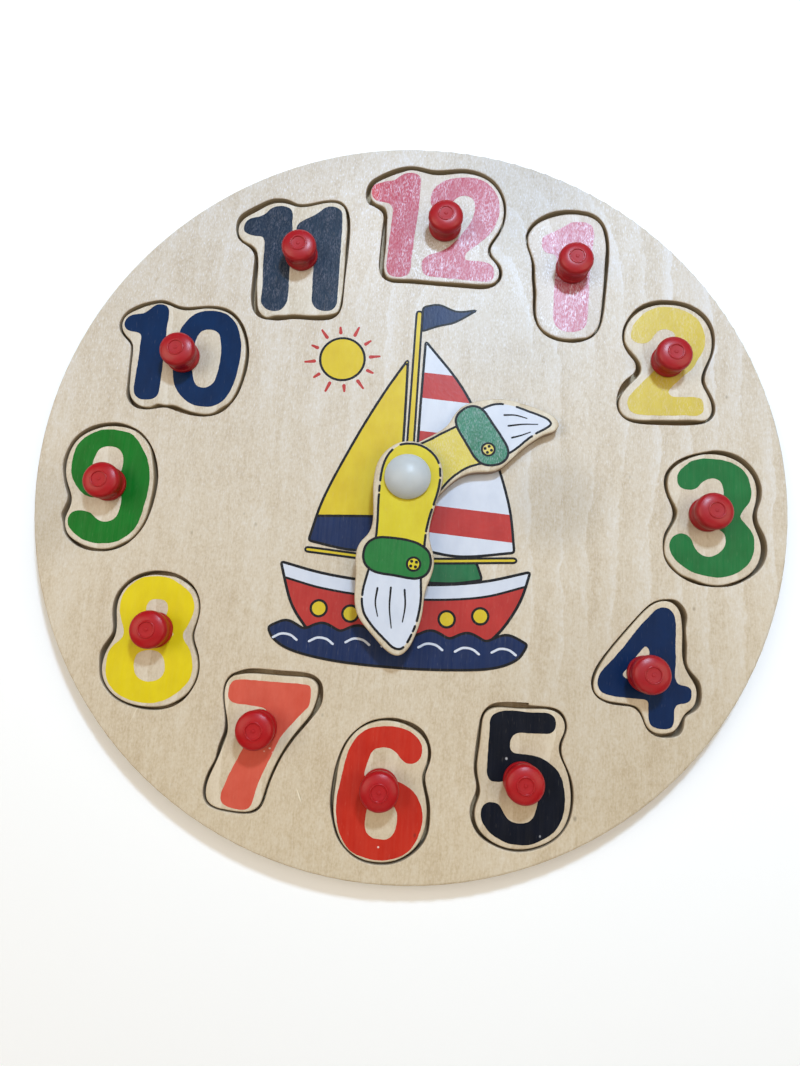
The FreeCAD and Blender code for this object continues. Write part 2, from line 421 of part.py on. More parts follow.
for n in range(1, 13):
    x, y = KNOB_AT[n]
    body = prism(PIECE_OUTLINE[n], Z_PIECE, PIECE_T)
    body = rounded(body, Z_PIECE_TOP, PIECE_ROUND)
    try:
        low = rounded(body, Z_PIECE, PIECE_ROUND_LOW)
        if low.isValid():
            body = low
    except Exception as err:
        print("piece", n, "lower edge left sharp:", err)
    body = body.cut(screw_hole(x, y))
    save(body, "number_piece_%02d" % n)
    save(knob(x, y, Z_PIECE_TOP), "knob_%02d" % n)
    save(screw(x, y), "knob_screw_%02d" % n)


# ---------------------------------------------------------------- hands and hub
def hand(outline, z):
    body = prism(outline, z, HAND_T)
    body = rounded(body, z + HAND_T, HAND_ROUND)
    body = rounded(body, z, HAND_ROUND_LOW)
    return body.cut(cyl(HAND_BORE_R, z - 1, z + HAND_T + 1))


save(hand(HOUR_OUTLINE, Z_HOUR), "hour_hand")
save(hand(MINUTE_OUTLINE, Z_MINUTE), "minute_hand")


def washer(z):
    return cyl(WASHER_R, z, z + WASHER_T).cut(
        cyl(HUB_STEM_R + FIT, z - 1, z + WASHER_T + 1))


save(washer(Z_LOW_WASHER), "hub_lower_washer")
save(washer(Z_MID_WASHER), "hub_middle_washer")

stem_low = RIVET_SEAT_H + 0.1
zc = Z_CAP
r = HUB_CAP_R
bore_top = zc - 2.0
dome_h = HUB_CAP_H - HUB_RIM_H
# the dome is one arc through the rim, a point at mid height and the crown
sag = dome_h
R_dome = (r * r + sag * sag) / (2 * sag)
zm = zc + HUB_CAP_H - R_dome
xm = r * 0.62
mid = (xm, zm + math.sqrt(R_dome * R_dome - xm * xm))
z_crown = zm + math.sqrt(R_dome * R_dome - 0.4 * 0.4)
cap = revolve([
    ("L", (HUB_STEM_BORE_R, stem_low), (HUB_STEM_R - 0.25, stem_low)),
    ("L", (HUB_STEM_R - 0.25, stem_low), (HUB_STEM_R, stem_low + 0.25)),
    ("L", (HUB_STEM_R, stem_low + 0.25), (HUB_STEM_R, zc)),
    ("L", (HUB_STEM_R, zc), (r - 0.35, zc)),
    ("A", (r - 0.35, zc), (r - 0.1, zc + 0.1), (r, zc + 0.35)),
    ("L", (r, zc + 0.35), (r, zc + HUB_RIM_H)),
    ("A", (r, zc + HUB_RIM_H), mid, (0.4, z_crown)),
    ("L", (0.4, z_crown), (0.0, z_crown)),
    ("L", (0.0, z_crown), (0.0, bore_top + 0.9)),
    ("L", (0.0, bore_top + 0.9), (0.3, bore_top + 0.9)),
    ("L", (0.3, bore_top + 0.9), (HUB_STEM_BORE_R, bore_top)),
    ("L", (HUB_STEM_BORE_R, bore_top), (HUB_STEM_BORE_R, stem_low)),
])
save(cap, "hub_cap")

seat = RIVET_SEAT_H
head_top = seat
head_low = seat - RIVET_HEAD_H
pin_r = HUB_STEM_BORE_R - FIT
pin_top = bore_top - 1.0
rivet = revolve([
    ("L", (0.0, head_low), (RIVET_HEAD_R - 0.4, head_low)),
    ("A", (RIVET_HEAD_R - 0.4, head_low), (RIVET_HEAD_R - 0.12, head_low + 0.12),
     (RIVET_HEAD_R, head_low + 0.4)),
    ("L", (RIVET_HEAD_R, head_low + 0.4), (RIVET_HEAD_R, head_top)),
    ("L", (RIVET_HEAD_R, head_top), (pin_r, head_top)),
    ("L", (pin_r, head_top), (pin_r, pin_top - 0.6)),
    ("L", (pin_r, pin_top - 0.6), (pin_r - 0.6, pin_top)),
    ("L", (pin_r - 0.6, pin_top), (0.0, pin_top)),
    ("L", (0.0, pin_top), (0.0, head_low)),
])
save(rivet, "hub_rear_rivet")

print("face", Z_FACE, "hour hand", Z_HOUR, "minute hand", Z_MINUTE, "cap", Z_CAP,
      "top", Z_CAP + HUB_CAP_H)
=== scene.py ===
import bpy
import bmesh
import math
import random
import numpy as np
from mathutils import Matrix, Vector
from mathutils.geometry import tessellate_polygon


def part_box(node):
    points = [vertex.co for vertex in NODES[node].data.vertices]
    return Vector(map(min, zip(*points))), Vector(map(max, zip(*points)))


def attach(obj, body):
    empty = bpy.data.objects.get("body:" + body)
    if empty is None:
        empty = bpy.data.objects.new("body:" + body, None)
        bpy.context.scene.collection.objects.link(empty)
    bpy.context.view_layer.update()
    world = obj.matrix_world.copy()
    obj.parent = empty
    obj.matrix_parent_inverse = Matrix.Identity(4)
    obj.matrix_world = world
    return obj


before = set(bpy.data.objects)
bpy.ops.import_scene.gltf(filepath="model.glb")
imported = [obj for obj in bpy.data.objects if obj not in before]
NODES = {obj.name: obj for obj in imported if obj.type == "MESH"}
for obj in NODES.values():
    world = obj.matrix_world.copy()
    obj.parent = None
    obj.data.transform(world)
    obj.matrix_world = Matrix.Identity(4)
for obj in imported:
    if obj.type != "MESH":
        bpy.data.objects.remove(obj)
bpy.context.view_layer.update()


MM = 0.001
FACE = 0.009                      # the dial's face
scene = bpy.context.scene
scene.view_settings.view_transform = "Standard"
scene.view_settings.look = "None"
scene.view_settings.exposure = 0.0
scene.view_settings.gamma = 1.0

# ------------------------------------------------------------------ printed shapes
# Outlines of the printed numerals, millimetres in the dial's frame. The first
# contour is the outer one; "holes" lists the contours cut out of it.
NUMERAL = {
    1: [
        ([(65, 118.8), (61.9, 118.2), (59.4, 116.6), (56.2, 114.4), (52.5, 112.3), (50.3, 110.7), (49.7, 108.5), (50.3, 105.3),
         (51.9, 103.5), (54.5, 103.1), (55.9, 102), (56, 98.4), (55.7, 92.3), (55.5, 85.8), (55.5, 79.4), (55.6, 73.8),
         (56.8, 70.7), (59, 68.9), (62.4, 68.3), (66.1, 68.9), (68.6, 70.7), (69.6, 73.8), (69.9, 79.4), (70.1, 85.8),
         (70.1, 92.3), (70.5, 98.4), (71, 104.4), (71.5, 110.1), (71.7, 114.1), (70.1, 117.7), (67.6, 118.7)],
         []),
    ],
    2: [
        ([(87.8, 69.4), (88.1, 66.8), (89.6, 65.6), (92.8, 65.1), (95.3, 66.2), (96.7, 68), (98.4, 70.5), (101, 71.8),
         (103.5, 71.6), (105.3, 70.3), (105.8, 68.1), (105.4, 65.1), (103.4, 61.1), (100.3, 56.8), (97.7, 53.9), (95.3, 51.2),
         (93.3, 49), (90.8, 46.2), (88.3, 43.3), (86.7, 40.5), (86.8, 37.4), (88.3, 35.2), (91.4, 34.3), (98.3, 34.4),
         (104.5, 34.7), (110.8, 35.2), (115.2, 35.6), (117, 37.1), (117.2, 39.9), (116.4, 42.4), (114.5, 43.1), (110.8, 43),
         (106.4, 42.8), (104.2, 43.1), (103.2, 44.4), (103.9, 46.1), (106.5, 49), (109, 51.7), (111.5, 54), (113.4, 56.2),
         (115, 59.3), (116.8, 62.5), (117.8, 65.6), (118, 69.3), (117.2, 73.1), (115.4, 76.6), (112.2, 79.4), (107.9, 81.3),
         (103.5, 81.9), (99.1, 81.6), (95.4, 80.1), (92.7, 78.2), (90.4, 75.4), (88.4, 72.6)],
         []),
    ],
    3: [
        ([(106.6, 8.6), (107.2, 11.1), (109.1, 13.6), (112.2, 16.1), (115.9, 17.4), (120.3, 17.7), (124.7, 17.4), (129.1, 16.1),
         (132.1, 14.2), (134.3, 11.4), (135.3, 8), (135.7, 4.2), (134.9, 1.1), (133.2, -1.4), (131.7, -3.7), (131.2, -5.2),
         (132, -6.7), (134.5, -9.5), (136.1, -12.6), (136.4, -16.4), (135.8, -20.1), (134.4, -23.1), (131.3, -26.3), (126.9, -28.8),
         (121.9, -29.8), (116.9, -29.3), (112, -28.1), (108.2, -25.9), (105.1, -22.9), (103.7, -19.7), (103.9, -16.7), (105.4, -14.5),
         (107.9, -13.4), (110.4, -13.9), (112, -15.4), (113.2, -18.2), (115.1, -20.7), (118.6, -21.9), (122, -20.7), (124.5, -18.2),
         (125.4, -15.1), (124.8, -12.6), (122.9, -10.9), (120.8, -9.4), (119.9, -7.2), (120, -4.4), (121.1, -2), (123, -0.5),
         (124.3, 1.6), (124.9, 4.2), (124.6, 6.1), (123.7, 8.3), (121.2, 9.6), (118.7, 9.2), (116.2, 7.4), (114, 5.2),
         (111.2, 4.4), (108.3, 4.9), (107, 6.4)],
         []),
    ],
    4: [
        ([(101.3, -42.7), (98.8, -43.6), (96.3, -46.1), (92.5, -50.4), (88.8, -55.4), (85, -60.4), (81.3, -64.8), (77.8, -69.1),
         (76.8, -72.2), (77.5, -75.3), (79.4, -76.6), (83.8, -77.4), (88.7, -77.6), (92.8, -77.7), (95.4, -78.2), (95.9, -80.8),
         (96, -84.6), (96.8, -86.8), (99.2, -87.9), (101.7, -88), (104.5, -87.1), (105.4, -84.6), (105.5, -81.5), (106.3, -79.2),
         (108.6, -78.3), (111.1, -77.2), (112, -75), (111.4, -72.5), (109.3, -71.6), (106.8, -71), (105.9, -69.3), (106, -64.7),
         (106, -59.8), (106.1, -53.5), (106.1, -48.5), (105.5, -45.5), (103.8, -43.3)],
         [[(94.9, -58.1), (95.8, -59), (96, -61.3), (96, -65.7), (95.8, -69.2), (94.7, -70.2), (91.9, -70.3), (87.3, -70.3),
           (86.2, -69.2), (87.9, -66.6), (90.4, -63), (92.9, -59.8)]]),
    ],
    5: [
        ([(37.1, -89), (38, -87.4), (40.5, -86), (43.2, -85.4), (48.9, -85.3), (55.1, -85.3), (59.3, -85.5), (61, -86.8),
         (61.6, -89), (61.2, -91.2), (59.5, -92.6), (56.4, -92.9), (52, -93), (48.2, -93.2), (45.9, -94.3), (44.9, -96.1),
         (44.8, -98.2), (45.6, -100), (47.8, -100.6), (50.7, -100.7), (54.4, -101.1), (57.5, -102), (60.6, -103.9), (63.1, -106.3),
         (64.7, -109.4), (65.4, -112.5), (65.7, -116.2), (65.4, -119.9), (64.3, -123.6), (61.8, -127.3), (58, -130.1), (53.8, -132),
         (49.4, -132.5), (45.6, -132.3), (42, -130.9), (38.2, -128.6), (36.1, -125.9), (35.2, -123), (35.7, -120.2), (37.3, -118.8),
         (39.5, -118.4), (41.4, -119), (42.9, -120.9), (45, -123.7), (47.5, -124.9), (50, -125), (52.8, -124.2), (54.4, -122.4),
         (55.3, -119.9), (55.8, -117.1), (55.1, -113.4), (53.3, -110.6), (50.4, -109), (47.2, -108.7), (44.6, -109.6), (42.8, -110.8),
         (40.4, -111.2), (37.9, -110.7), (36.8, -108.8), (36.6, -106.4), (36.7, -101.4), (36.9, -95.2), (37, -91.5)],
         []),
    ],
    6: [
        ([(12.3, -102.5), (11.9, -100), (10.4, -97.9), (7.6, -95.7), (3.5, -94.5), (-0.9, -94.2), (-5.2, -94.8), (-8.9, -96),
         (-12, -98.5), (-14.5, -102.5), (-15.8, -106.9), (-16.7, -111.9), (-17.5, -116.8), (-18.1, -121.8), (-17.8, -126.7), (-16.7, -131.6),
         (-14.5, -135.9), (-11.4, -139.1), (-7, -140.8), (-2.1, -141.5), (2.9, -141), (7.3, -139.3), (10.3, -136.9), (12.5, -133.1),
         (13.7, -129.1), (13.9, -124.8), (12.8, -121), (11, -118), (8.2, -115.5), (4.8, -114), (1.7, -113.3), (-1.8, -113.1),
         (-5.2, -113.7), (-7.3, -114.2), (-8.3, -112.8), (-8.3, -110), (-7.3, -106.2), (-5.9, -103.4), (-3, -102.1), (0.1, -102.2),
         (2.6, -103.4), (4.4, -105.3), (6, -106.7), (8.2, -107.2), (10.7, -106.2), (11.9, -104.4)],
         [[(-7, -127.3), (-7, -129.8), (-6.2, -132.2), (-4, -133.9), (-0.9, -134.3), (2.3, -133.6), (4.1, -130.9), (4.6, -127.9),
           (4.4, -124.8), (3.2, -122.6), (1, -121.2), (-2.1, -120.9), (-5.2, -122.1), (-6.7, -124.6)]]),
    ],
    7: [
        ([(-62.5, -85.6), (-62.2, -83.7), (-61, -81.8), (-58.8, -81.2), (-51.9, -81.1), (-45.7, -81.1), (-39.5, -81.1), (-33.9, -81.2),
         (-31.7, -81.8), (-31.1, -83.7), (-31.1, -86.2), (-31.5, -89), (-33.3, -91.4), (-35.7, -94.2), (-38.2, -97.3), (-40.7, -100.8),
         (-42.8, -105.4), (-45, -111), (-46.9, -115.9), (-48.2, -120.3), (-49, -124.6), (-49.9, -126.7), (-52.4, -127.8), (-55.6, -127.7),
         (-58.7, -126.9), (-60.6, -125.6), (-61.1, -123.1), (-59.9, -119), (-58.4, -114.7), (-56.5, -110.4), (-54.7, -106.3), (-52.5, -103),
         (-50, -99.2), (-47.8, -95.5), (-46.7, -92.8), (-47.8, -91.3), (-51.3, -90.6), (-55, -90.3), (-58.9, -90.1), (-61.3, -89.3),
         (-62.3, -87.8)],
         []),
    ],
    8: [
        ([(-93.8, -44.1), (-89.4, -44.8), (-85.3, -47), (-81.9, -49.5), (-80, -52.6), (-79.4, -56.4), (-80.2, -60.1), (-81.5, -63.3),
         (-82.4, -65.7), (-81.9, -67.8), (-80.2, -70), (-78.3, -73.2), (-77.4, -76.9), (-77.5, -81.3), (-79.3, -84.9), (-82.3, -88.1),
         (-86.1, -90.6), (-90.4, -92.1), (-95.4, -92.3), (-100.4, -91.5), (-105.4, -89.3), (-108.6, -86.2), (-110.3, -82.5), (-110.7, -78.8),
         (-110.4, -75), (-109, -71.9), (-106.8, -69.7), (-105.6, -67.5), (-105.8, -65.1), (-107.1, -62), (-108.2, -58.3), (-108.3, -54.5),
         (-107.5, -51.4), (-105.3, -48.3), (-101.9, -45.5), (-98.1, -44.4)],
         [[(-99.9, -76.3), (-99.8, -79.4), (-98.6, -82.2), (-96.1, -84), (-93.2, -84.4), (-90.1, -83.4), (-88.2, -81.3), (-87.9, -78.5),
           (-88.7, -75.7), (-90.5, -73.5), (-93.7, -72.6), (-96.8, -73), (-98.9, -74.2)],
          [(-98, -56.4), (-97.4, -54.5), (-95.8, -53.3), (-93.4, -53), (-91.3, -53.4), (-89.9, -54.8), (-89.6, -57), (-90.2, -59.5),
           (-92.4, -61.2), (-95.2, -61.2), (-97.4, -59.3)]]),
    ],
    9: [
        ([(-121.7, 14.2), (-118, 13.9), (-114.2, 13.1), (-111, 10.8), (-108.5, 7.4), (-106.6, 4.5), (-105.1, 1.4), (-104, -2.7),
         (-103.6, -7.1), (-103.7, -11.5), (-104.4, -16.5), (-105.3, -21.5), (-106.9, -25.9), (-109.7, -29), (-113.4, -31.5), (-117.8, -32.6),
         (-122.8, -32.6), (-127.8, -31.2), (-131.5, -28.7), (-133.7, -26.2), (-134.2, -23.7), (-133.4, -21.5), (-131.2, -20.2), (-128.4, -20.1),
         (-125.6, -20.7), (-123.4, -22.4), (-121.2, -23.7), (-118.7, -23.9), (-115.9, -22.7), (-114.4, -20.2), (-113.9, -17.1), (-113.9, -14),
         (-115, -12.2), (-117.5, -12.3), (-120.5, -13.7), (-124.3, -14.5), (-128.2, -13.9), (-131, -12.1), (-133.2, -9.6), (-134.8, -7.1),
         (-136, -2.7), (-136, 1.6), (-135.2, 6), (-133.3, 9.2), (-130.2, 11.7), (-126.1, 13.7)],
         [[(-121.4, 7.1), (-118.5, 6.6), (-116.3, 4.4), (-115.4, 1.6), (-115.3, -0.9), (-116, -3.6), (-118.3, -5.4), (-121.6, -5.6),
           (-124.9, -4.4), (-126.9, -2.2), (-127.6, 0.1), (-127, 2.3), (-126.1, 5.1), (-124.2, 6.6)]]),
    ],
    10: [
        ([(-87, 68.5), (-83.2, 68.2), (-80.1, 67), (-77.2, 64.5), (-75, 60.9), (-73.6, 56.6), (-72.9, 52.2), (-72.9, 47.2),
         (-73.4, 42.1), (-74.3, 37.1), (-75.8, 32.7), (-78, 29.3), (-81.1, 27.1), (-84.9, 26.3), (-88.7, 26.6), (-92.5, 28),
         (-95.6, 30.5), (-98.1, 33.7), (-99.4, 37.1), (-100.2, 40.8), (-100.7, 45.9), (-100.5, 50.9), (-99.9, 55.3), (-99.2, 59.1),
         (-97.6, 62.6), (-95.1, 65.7), (-91.3, 67.9)],
         [[(-87.6, 60), (-84.8, 59.7), (-82.8, 58.1), (-81.9, 55.3), (-81.1, 50.9), (-81.1, 45.9), (-81.6, 40.8), (-82.5, 37.4),
           (-84.4, 35.2), (-86.9, 34.4), (-89.4, 35.2), (-90.9, 37.4), (-91.9, 40.2), (-92.5, 44.1), (-92.7, 49.1), (-92.5, 53.4),
           (-91.7, 56.9), (-90.1, 59.1)]]),
        ([(-108.9, 70.1), (-106.4, 69.5), (-105.2, 67.3), (-105.1, 61.7), (-105, 55.3), (-105, 49.1), (-104.8, 42.8), (-104.7, 36.5),
         (-104.9, 31.5), (-105.9, 29), (-108.1, 28), (-111.2, 27.8), (-113.7, 28.7), (-115.1, 30.8), (-115.4, 34.6), (-115.3, 40.9),
         (-115.2, 47.2), (-115.3, 53.4), (-115.6, 55.8), (-117, 56.9), (-119.6, 57.3), (-122.1, 58.2), (-123.2, 60.1), (-122.8, 62.3),
         (-121.2, 64.2), (-118.3, 65.1), (-115.8, 65.7), (-113.9, 67), (-112.1, 68.9), (-110.5, 69.9)],
         []),
    ],
    11: [
        ([(-61.2, 118.7), (-59, 117.9), (-57.7, 116), (-57.3, 111.8), (-56.9, 108.6), (-56.7, 102.5), (-56.5, 96.5), (-56.4, 90.4),
         (-56.2, 86.6), (-55.9, 81.6), (-55.8, 76.5), (-56.2, 74), (-57.6, 71.5), (-59.8, 70.2), (-62.3, 70.2), (-64.8, 71.1),
         (-66.7, 73.4), (-67, 77.8), (-67.2, 82.9), (-67.5, 87.9), (-67.9, 93), (-68, 98), (-68.4, 101.8), (-69.5, 103.7),
         (-71.8, 104), (-75, 104.5), (-77.2, 105.6), (-77.9, 107.8), (-77.2, 110.3), (-75, 112.3), (-71.9, 113.2), (-69.7, 114.4),
         (-67.7, 116.6), (-65.5, 118.3), (-63.3, 118.8)],
         []),
        ([(-41.1, 119.9), (-38.6, 119.4), (-36.7, 117.9), (-36, 115), (-35.6, 110), (-35.5, 103.6), (-35.3, 97.4), (-35.2, 91),
         (-35, 84.8), (-34.9, 78.4), (-35, 74.7), (-36.3, 72.5), (-39.1, 71.4), (-42.2, 71.7), (-44.4, 73.1), (-45.5, 75.6),
         (-45.8, 79.7), (-46.1, 84.8), (-46.2, 89.8), (-46.2, 95.5), (-46.3, 100.7), (-47.4, 103.4), (-50, 104.2), (-52.9, 105),
         (-54.8, 106.8), (-55.2, 109), (-54.6, 110.7), (-52.9, 112.2), (-50.4, 113.8), (-47.9, 115.4), (-46.1, 116.9), (-43.6, 119.1)],
         []),
    ],
    12: [
        ([(1.4, 125), (1.4, 127.4), (2.3, 130.4), (4.5, 133.2), (7.9, 135.4), (11.7, 136.6), (16.7, 137.2), (21.8, 136.6),
         (25.5, 134.7), (28.3, 131.8), (30.2, 128.4), (31.1, 124.2), (31, 119.8), (29.9, 115.5), (28, 111.6), (25.5, 108.5),
         (22.9, 106), (19.8, 103.2), (17.7, 100.6), (17.7, 98.6), (19.5, 98), (23.5, 97.9), (26.8, 97.5), (29, 96.2),
         (30, 94), (29.9, 90.8), (28.5, 89.1), (25.4, 88.7), (19.2, 88.9), (12.9, 89.2), (6.7, 89.5), (2.9, 89.8),
         (0.6, 90.9), (-0.4, 93.4), (-0.5, 95.9), (0.6, 98.2), (3.5, 100.1), (7.3, 101.7), (10.3, 103.7), (12.9, 106.5),
         (15.4, 109.7), (17.9, 113.6), (19.5, 116.7), (20.4, 120.5), (20.4, 124.3), (19.3, 127.1), (17, 128.2), (14.2, 128.1),
         (12.3, 126.8), (10.9, 124.9), (9.3, 122.3), (6.9, 120.7), (4.2, 120.9), (2.1, 122.6)],
         []),
        ([(-7.8, 138), (-5.3, 137.6), (-3.7, 136), (-3.3, 133.2), (-3.4, 128.1), (-3.5, 121.8), (-3.9, 115.5), (-4.4, 109.1),
         (-4.7, 102.9), (-5, 96.5), (-5.3, 92.1), (-6.2, 90), (-8.4, 88.9), (-11.2, 88.7), (-14, 89.6), (-15.2, 92.1),
         (-15.4, 97.1), (-15.3, 102.2), (-15, 107.2), (-14.8, 112.3), (-14.5, 117.3), (-14.7, 120.6), (-15.9, 122.4), (-18.5, 123.2),
         (-21.6, 123.8), (-23.5, 125.3), (-24.3, 128.2), (-23.5, 131), (-21.3, 132.2), (-17.9, 133.5), (-14.7, 134.2), (-13.1, 135.7),
         (-10.9, 137.3)],
         []),
    ],
}


# ------------------------------------------------------------------ camera
RX, RY, ROLL = -0.1669456, -0.0149542, math.radians(-4.0)
T = Vector((3.10176, 20.16483, -259.486603)) * MM
FOCAL_PX, LONG_PX = 650.0, 1066.0


def look_matrix():
    cx, sx = math.cos(RX), math.sin(RX)
    cy, sy = math.cos(RY), math.sin(RY)
    cz, sz = math.cos(ROLL), math.sin(ROLL)
    rx = Matrix(((1, 0, 0), (0, cx, -sx), (0, sx, cx)))
    ry = Matrix(((cy, 0, sy), (0, 1, 0), (-sy, 0, cy)))
    rz = Matrix(((cz, -sz, 0), (sz, cz, 0), (0, 0, 1)))
    return rx @ ry @ rz


M = look_matrix()
cam_data = bpy.data.cameras.new("camera")
cam_data.sensor_fit = "AUTO"
cam_data.sensor_width = 36.0
cam_data.lens = 36.0 * FOCAL_PX / LONG_PX
cam_data.clip_start = 0.01
cam_data.clip_end = 20.0
camera = bpy.data.objects.new("camera", cam_data)
scene.collection.objects.link(camera)
location = -(M.transposed() @ T) + Vector((0, 0, FACE))
camera.matrix_world = Matrix.Translation(location) @ M.transposed().to_4x4()
scene.camera = camera


# ------------------------------------------------------------------ node helper
class Nodes:
    """Short way of writing a material's node tree."""

    def __init__(self, name):
        self.mat = bpy.data.materials.new(name)
        self.mat.use_nodes = True
        self.nt = self.mat.node_tree
        self.nt.nodes.clear()
        self.out = self.nt.nodes.new("ShaderNodeOutputMaterial")
        self.x = 0
        self._mm = None

    def put(self, sock, value):
        if value is None:
            return
        if isinstance(value, bpy.types.NodeSocket):
            self.nt.links.new(value, sock)
        elif isinstance(value, (tuple, list)):
            if len(sock.default_value) == 4 and len(value) == 3:
                value = tuple(value) + (1.0,)
            sock.default_value = value
        else:
            sock.default_value = value

    def node(self, kind, **props):
        n = self.nt.nodes.new("ShaderNode" + kind)
        for k, v in props.items():
            setattr(n, k, v)
        return n

    def math(self, op, a, b=None, c=None, clamp=False):
        n = self.node("Math", operation=op, use_clamp=clamp)
        self.put(n.inputs[0], a)
        self.put(n.inputs[1], b)
        if c is not None:
            self.put(n.inputs[2], c)
        return n.outputs[0]

    def vec(self, op, a, b=None):
        n = self.node("VectorMath", operation=op)
        self.put(n.inputs[0], a)
        if op == "SCALE":
            self.put(n.inputs[3], b)
        else:
            self.put(n.inputs[1], b)
        return n.outputs[1] if op in ("LENGTH", "DISTANCE", "DOT_PRODUCT") else n.outputs[0]

    def mix(self, a, b, f):
        n = self.node("Mix", data_type="RGBA")
        self.put(n.inputs[0], f)
        self.put(n.inputs[6], a)
        self.put(n.inputs[7], b)
        return n.outputs[2]

    def multiply(self, a, b, f=1.0):
        n = self.node("Mix", data_type="RGBA", blend_type="MULTIPLY")
        self.put(n.inputs[0], f)
        self.put(n.inputs[6], a)
        self.put(n.inputs[7], b)
        return n.outputs[2]

    def mm(self):
        """Object coordinates in millimetres."""
        if self._mm is None:
            c = self.node("TexCoord")
            self._mm = self.vec("SCALE", c.outputs["Object"], 1000.0)
        return self._mm

    def at(self, scale, shift=(0, 0, 0)):
        v = self.vec("MULTIPLY", self.mm(), scale)
        return self.vec("ADD", v, shift)

    def noise(self, vector, detail=2.0, rough=0.5, distortion=0.0, scale=1.0):
        n = self.node("TexNoise")
        self.put(n.inputs["Vector"], vector)
        self.put(n.inputs["Scale"], scale)
        self.put(n.inputs["Detail"], detail)
        self.put(n.inputs["Roughness"], rough)
        self.put(n.inputs["Distortion"], distortion)
        return n.outputs[0]

    def remap(self, v, a, b, c=0.0, d=1.0, smooth=False):
        n = self.node("MapRange", clamp=True)
        if smooth:
            n.interpolation_type = "SMOOTHSTEP"
        self.put(n.inputs["Value"], v)
        self.put(n.inputs["From Min"], a)
        self.put(n.inputs["From Max"], b)
        self.put(n.inputs["To Min"], c)
        self.put(n.inputs["To Max"], d)
        return n.outputs[0]

    def ramp(self, f, stops, kind="LINEAR"):
        n = self.node("ValToRGB")
        r = n.color_ramp
        r.interpolation = kind
        while len(r.elements) < len(stops):
            r.elements.new(0.5)
        for e, (p, c) in zip(r.elements, stops):
            e.position = p
            e.color = tuple(c) + (1.0,) if len(c) == 3 else c
        self.put(n.inputs[0], f)
        return n.outputs[0]

    def split(self, v):
        n = self.node("SeparateXYZ")
        self.put(n.inputs[0], v)
        return n.outputs

    def normal_z(self):
        g = self.node("NewGeometry")
        return self.split(g.outputs["Normal"])[2]

    def bump(self, height, strength, distance, normal=None):
        n = self.node("Bump")
        self.put(n.inputs["Strength"], strength)
        self.put(n.inputs["Distance"], distance)
        self.put(n.inputs["Height"], height)
        if normal is not None:
            self.put(n.inputs["Normal"], normal)
        return n.outputs[0]

    def spot(self, x, y, rx, ry, soft=0.35, angle=0.0, warp=None):
        """Mask of a small ellipse at (x, y) mm, 1 inside."""
        co = self.mm() if warp is None else warp
        v = self.vec("SUBTRACT", co, (x, y, 0.0))
        s = self.split(v)
        ca, sa = math.cos(angle), math.sin(angle)
        u = self.math("ADD", self.math("MULTIPLY", s[0], ca / rx), self.math("MULTIPLY", s[1], sa / rx))
        w = self.math("ADD", self.math("MULTIPLY", s[0], -sa / ry), self.math("MULTIPLY", s[1], ca / ry))
        d = self.math("SQRT", self.math("ADD", self.math("MULTIPLY", u, u), self.math("MULTIPLY", w, w)))
        return self.remap(d, 1.0 - soft, 1.0 + soft, 1.0, 0.0)

    def near(self, x, y, cx, cy, near, far, inside, outside):
        """Value that goes from inside to outside with the distance from (cx, cy) mm."""
        dx, dy = self.math("SUBTRACT", x, cx), self.math("SUBTRACT", y, cy)
        d = self.math("SQRT", self.math("ADD", self.math("MULTIPLY", dx, dx), self.math("MULTIPLY", dy, dy)))
        return self.remap(d, near, far, inside, outside, smooth=True)

    def shader(self, color, rough, normal=None, varnish=None, **fixed):
        b = self.node("BsdfPrincipled")
        self.put(b.inputs["Base Color"], color)
        self.put(b.inputs["Roughness"], rough)
        if normal is not None:
            self.put(b.inputs["Normal"], normal)
        if varnish is not None:
            self.put(b.inputs["Coat Normal"], varnish)
        for k, v in fixed.items():
            self.put(b.inputs[k.replace("_", " ")], v)
        self.nt.links.new(b.outputs[0], self.out.inputs[0])
        return self.mat


def lin(r, g, b):
    """sRGB 0-255 to linear."""
    out = []
    for v in (r, g, b):
        v /= 255.0
        out.append(v / 12.92 if v <= 0.04045 else ((v + 0.055) / 1.055) ** 2.4)
    return tuple(out)


# ------------------------------------------------------------------ wood
def grain(t, shift=(0.0, 0.0, 0.0), swap=False):
    """Fibre, streak, cloud and pore fields of rotary-cut veneer whose grain
    runs along Y (or along X for a cross ply)."""
    def s(a, b, c):
        return (b, a, c) if swap else (a, b, c)
    fibre = t.noise(t.at(s(0.95, 0.050, 0.95), shift), 3.0, 0.62)
    fine = t.noise(t.at(s(2.3, 0.42, 2.3), shift), 2.0, 0.6)
    streak = t.noise(t.at(s(0.13, 0.0075, 0.13), shift), 3.0, 0.55)
    cloud = t.noise(t.at(s(0.075, 0.045, 0.05), shift), 4.0, 0.68)
    pore = t.noise(t.at(s(1.9, 0.30, 1.9), (shift[0] + 31.7, shift[1], 5.0)), 1.0, 0.5)
    return fibre, fine, streak, cloud, pore


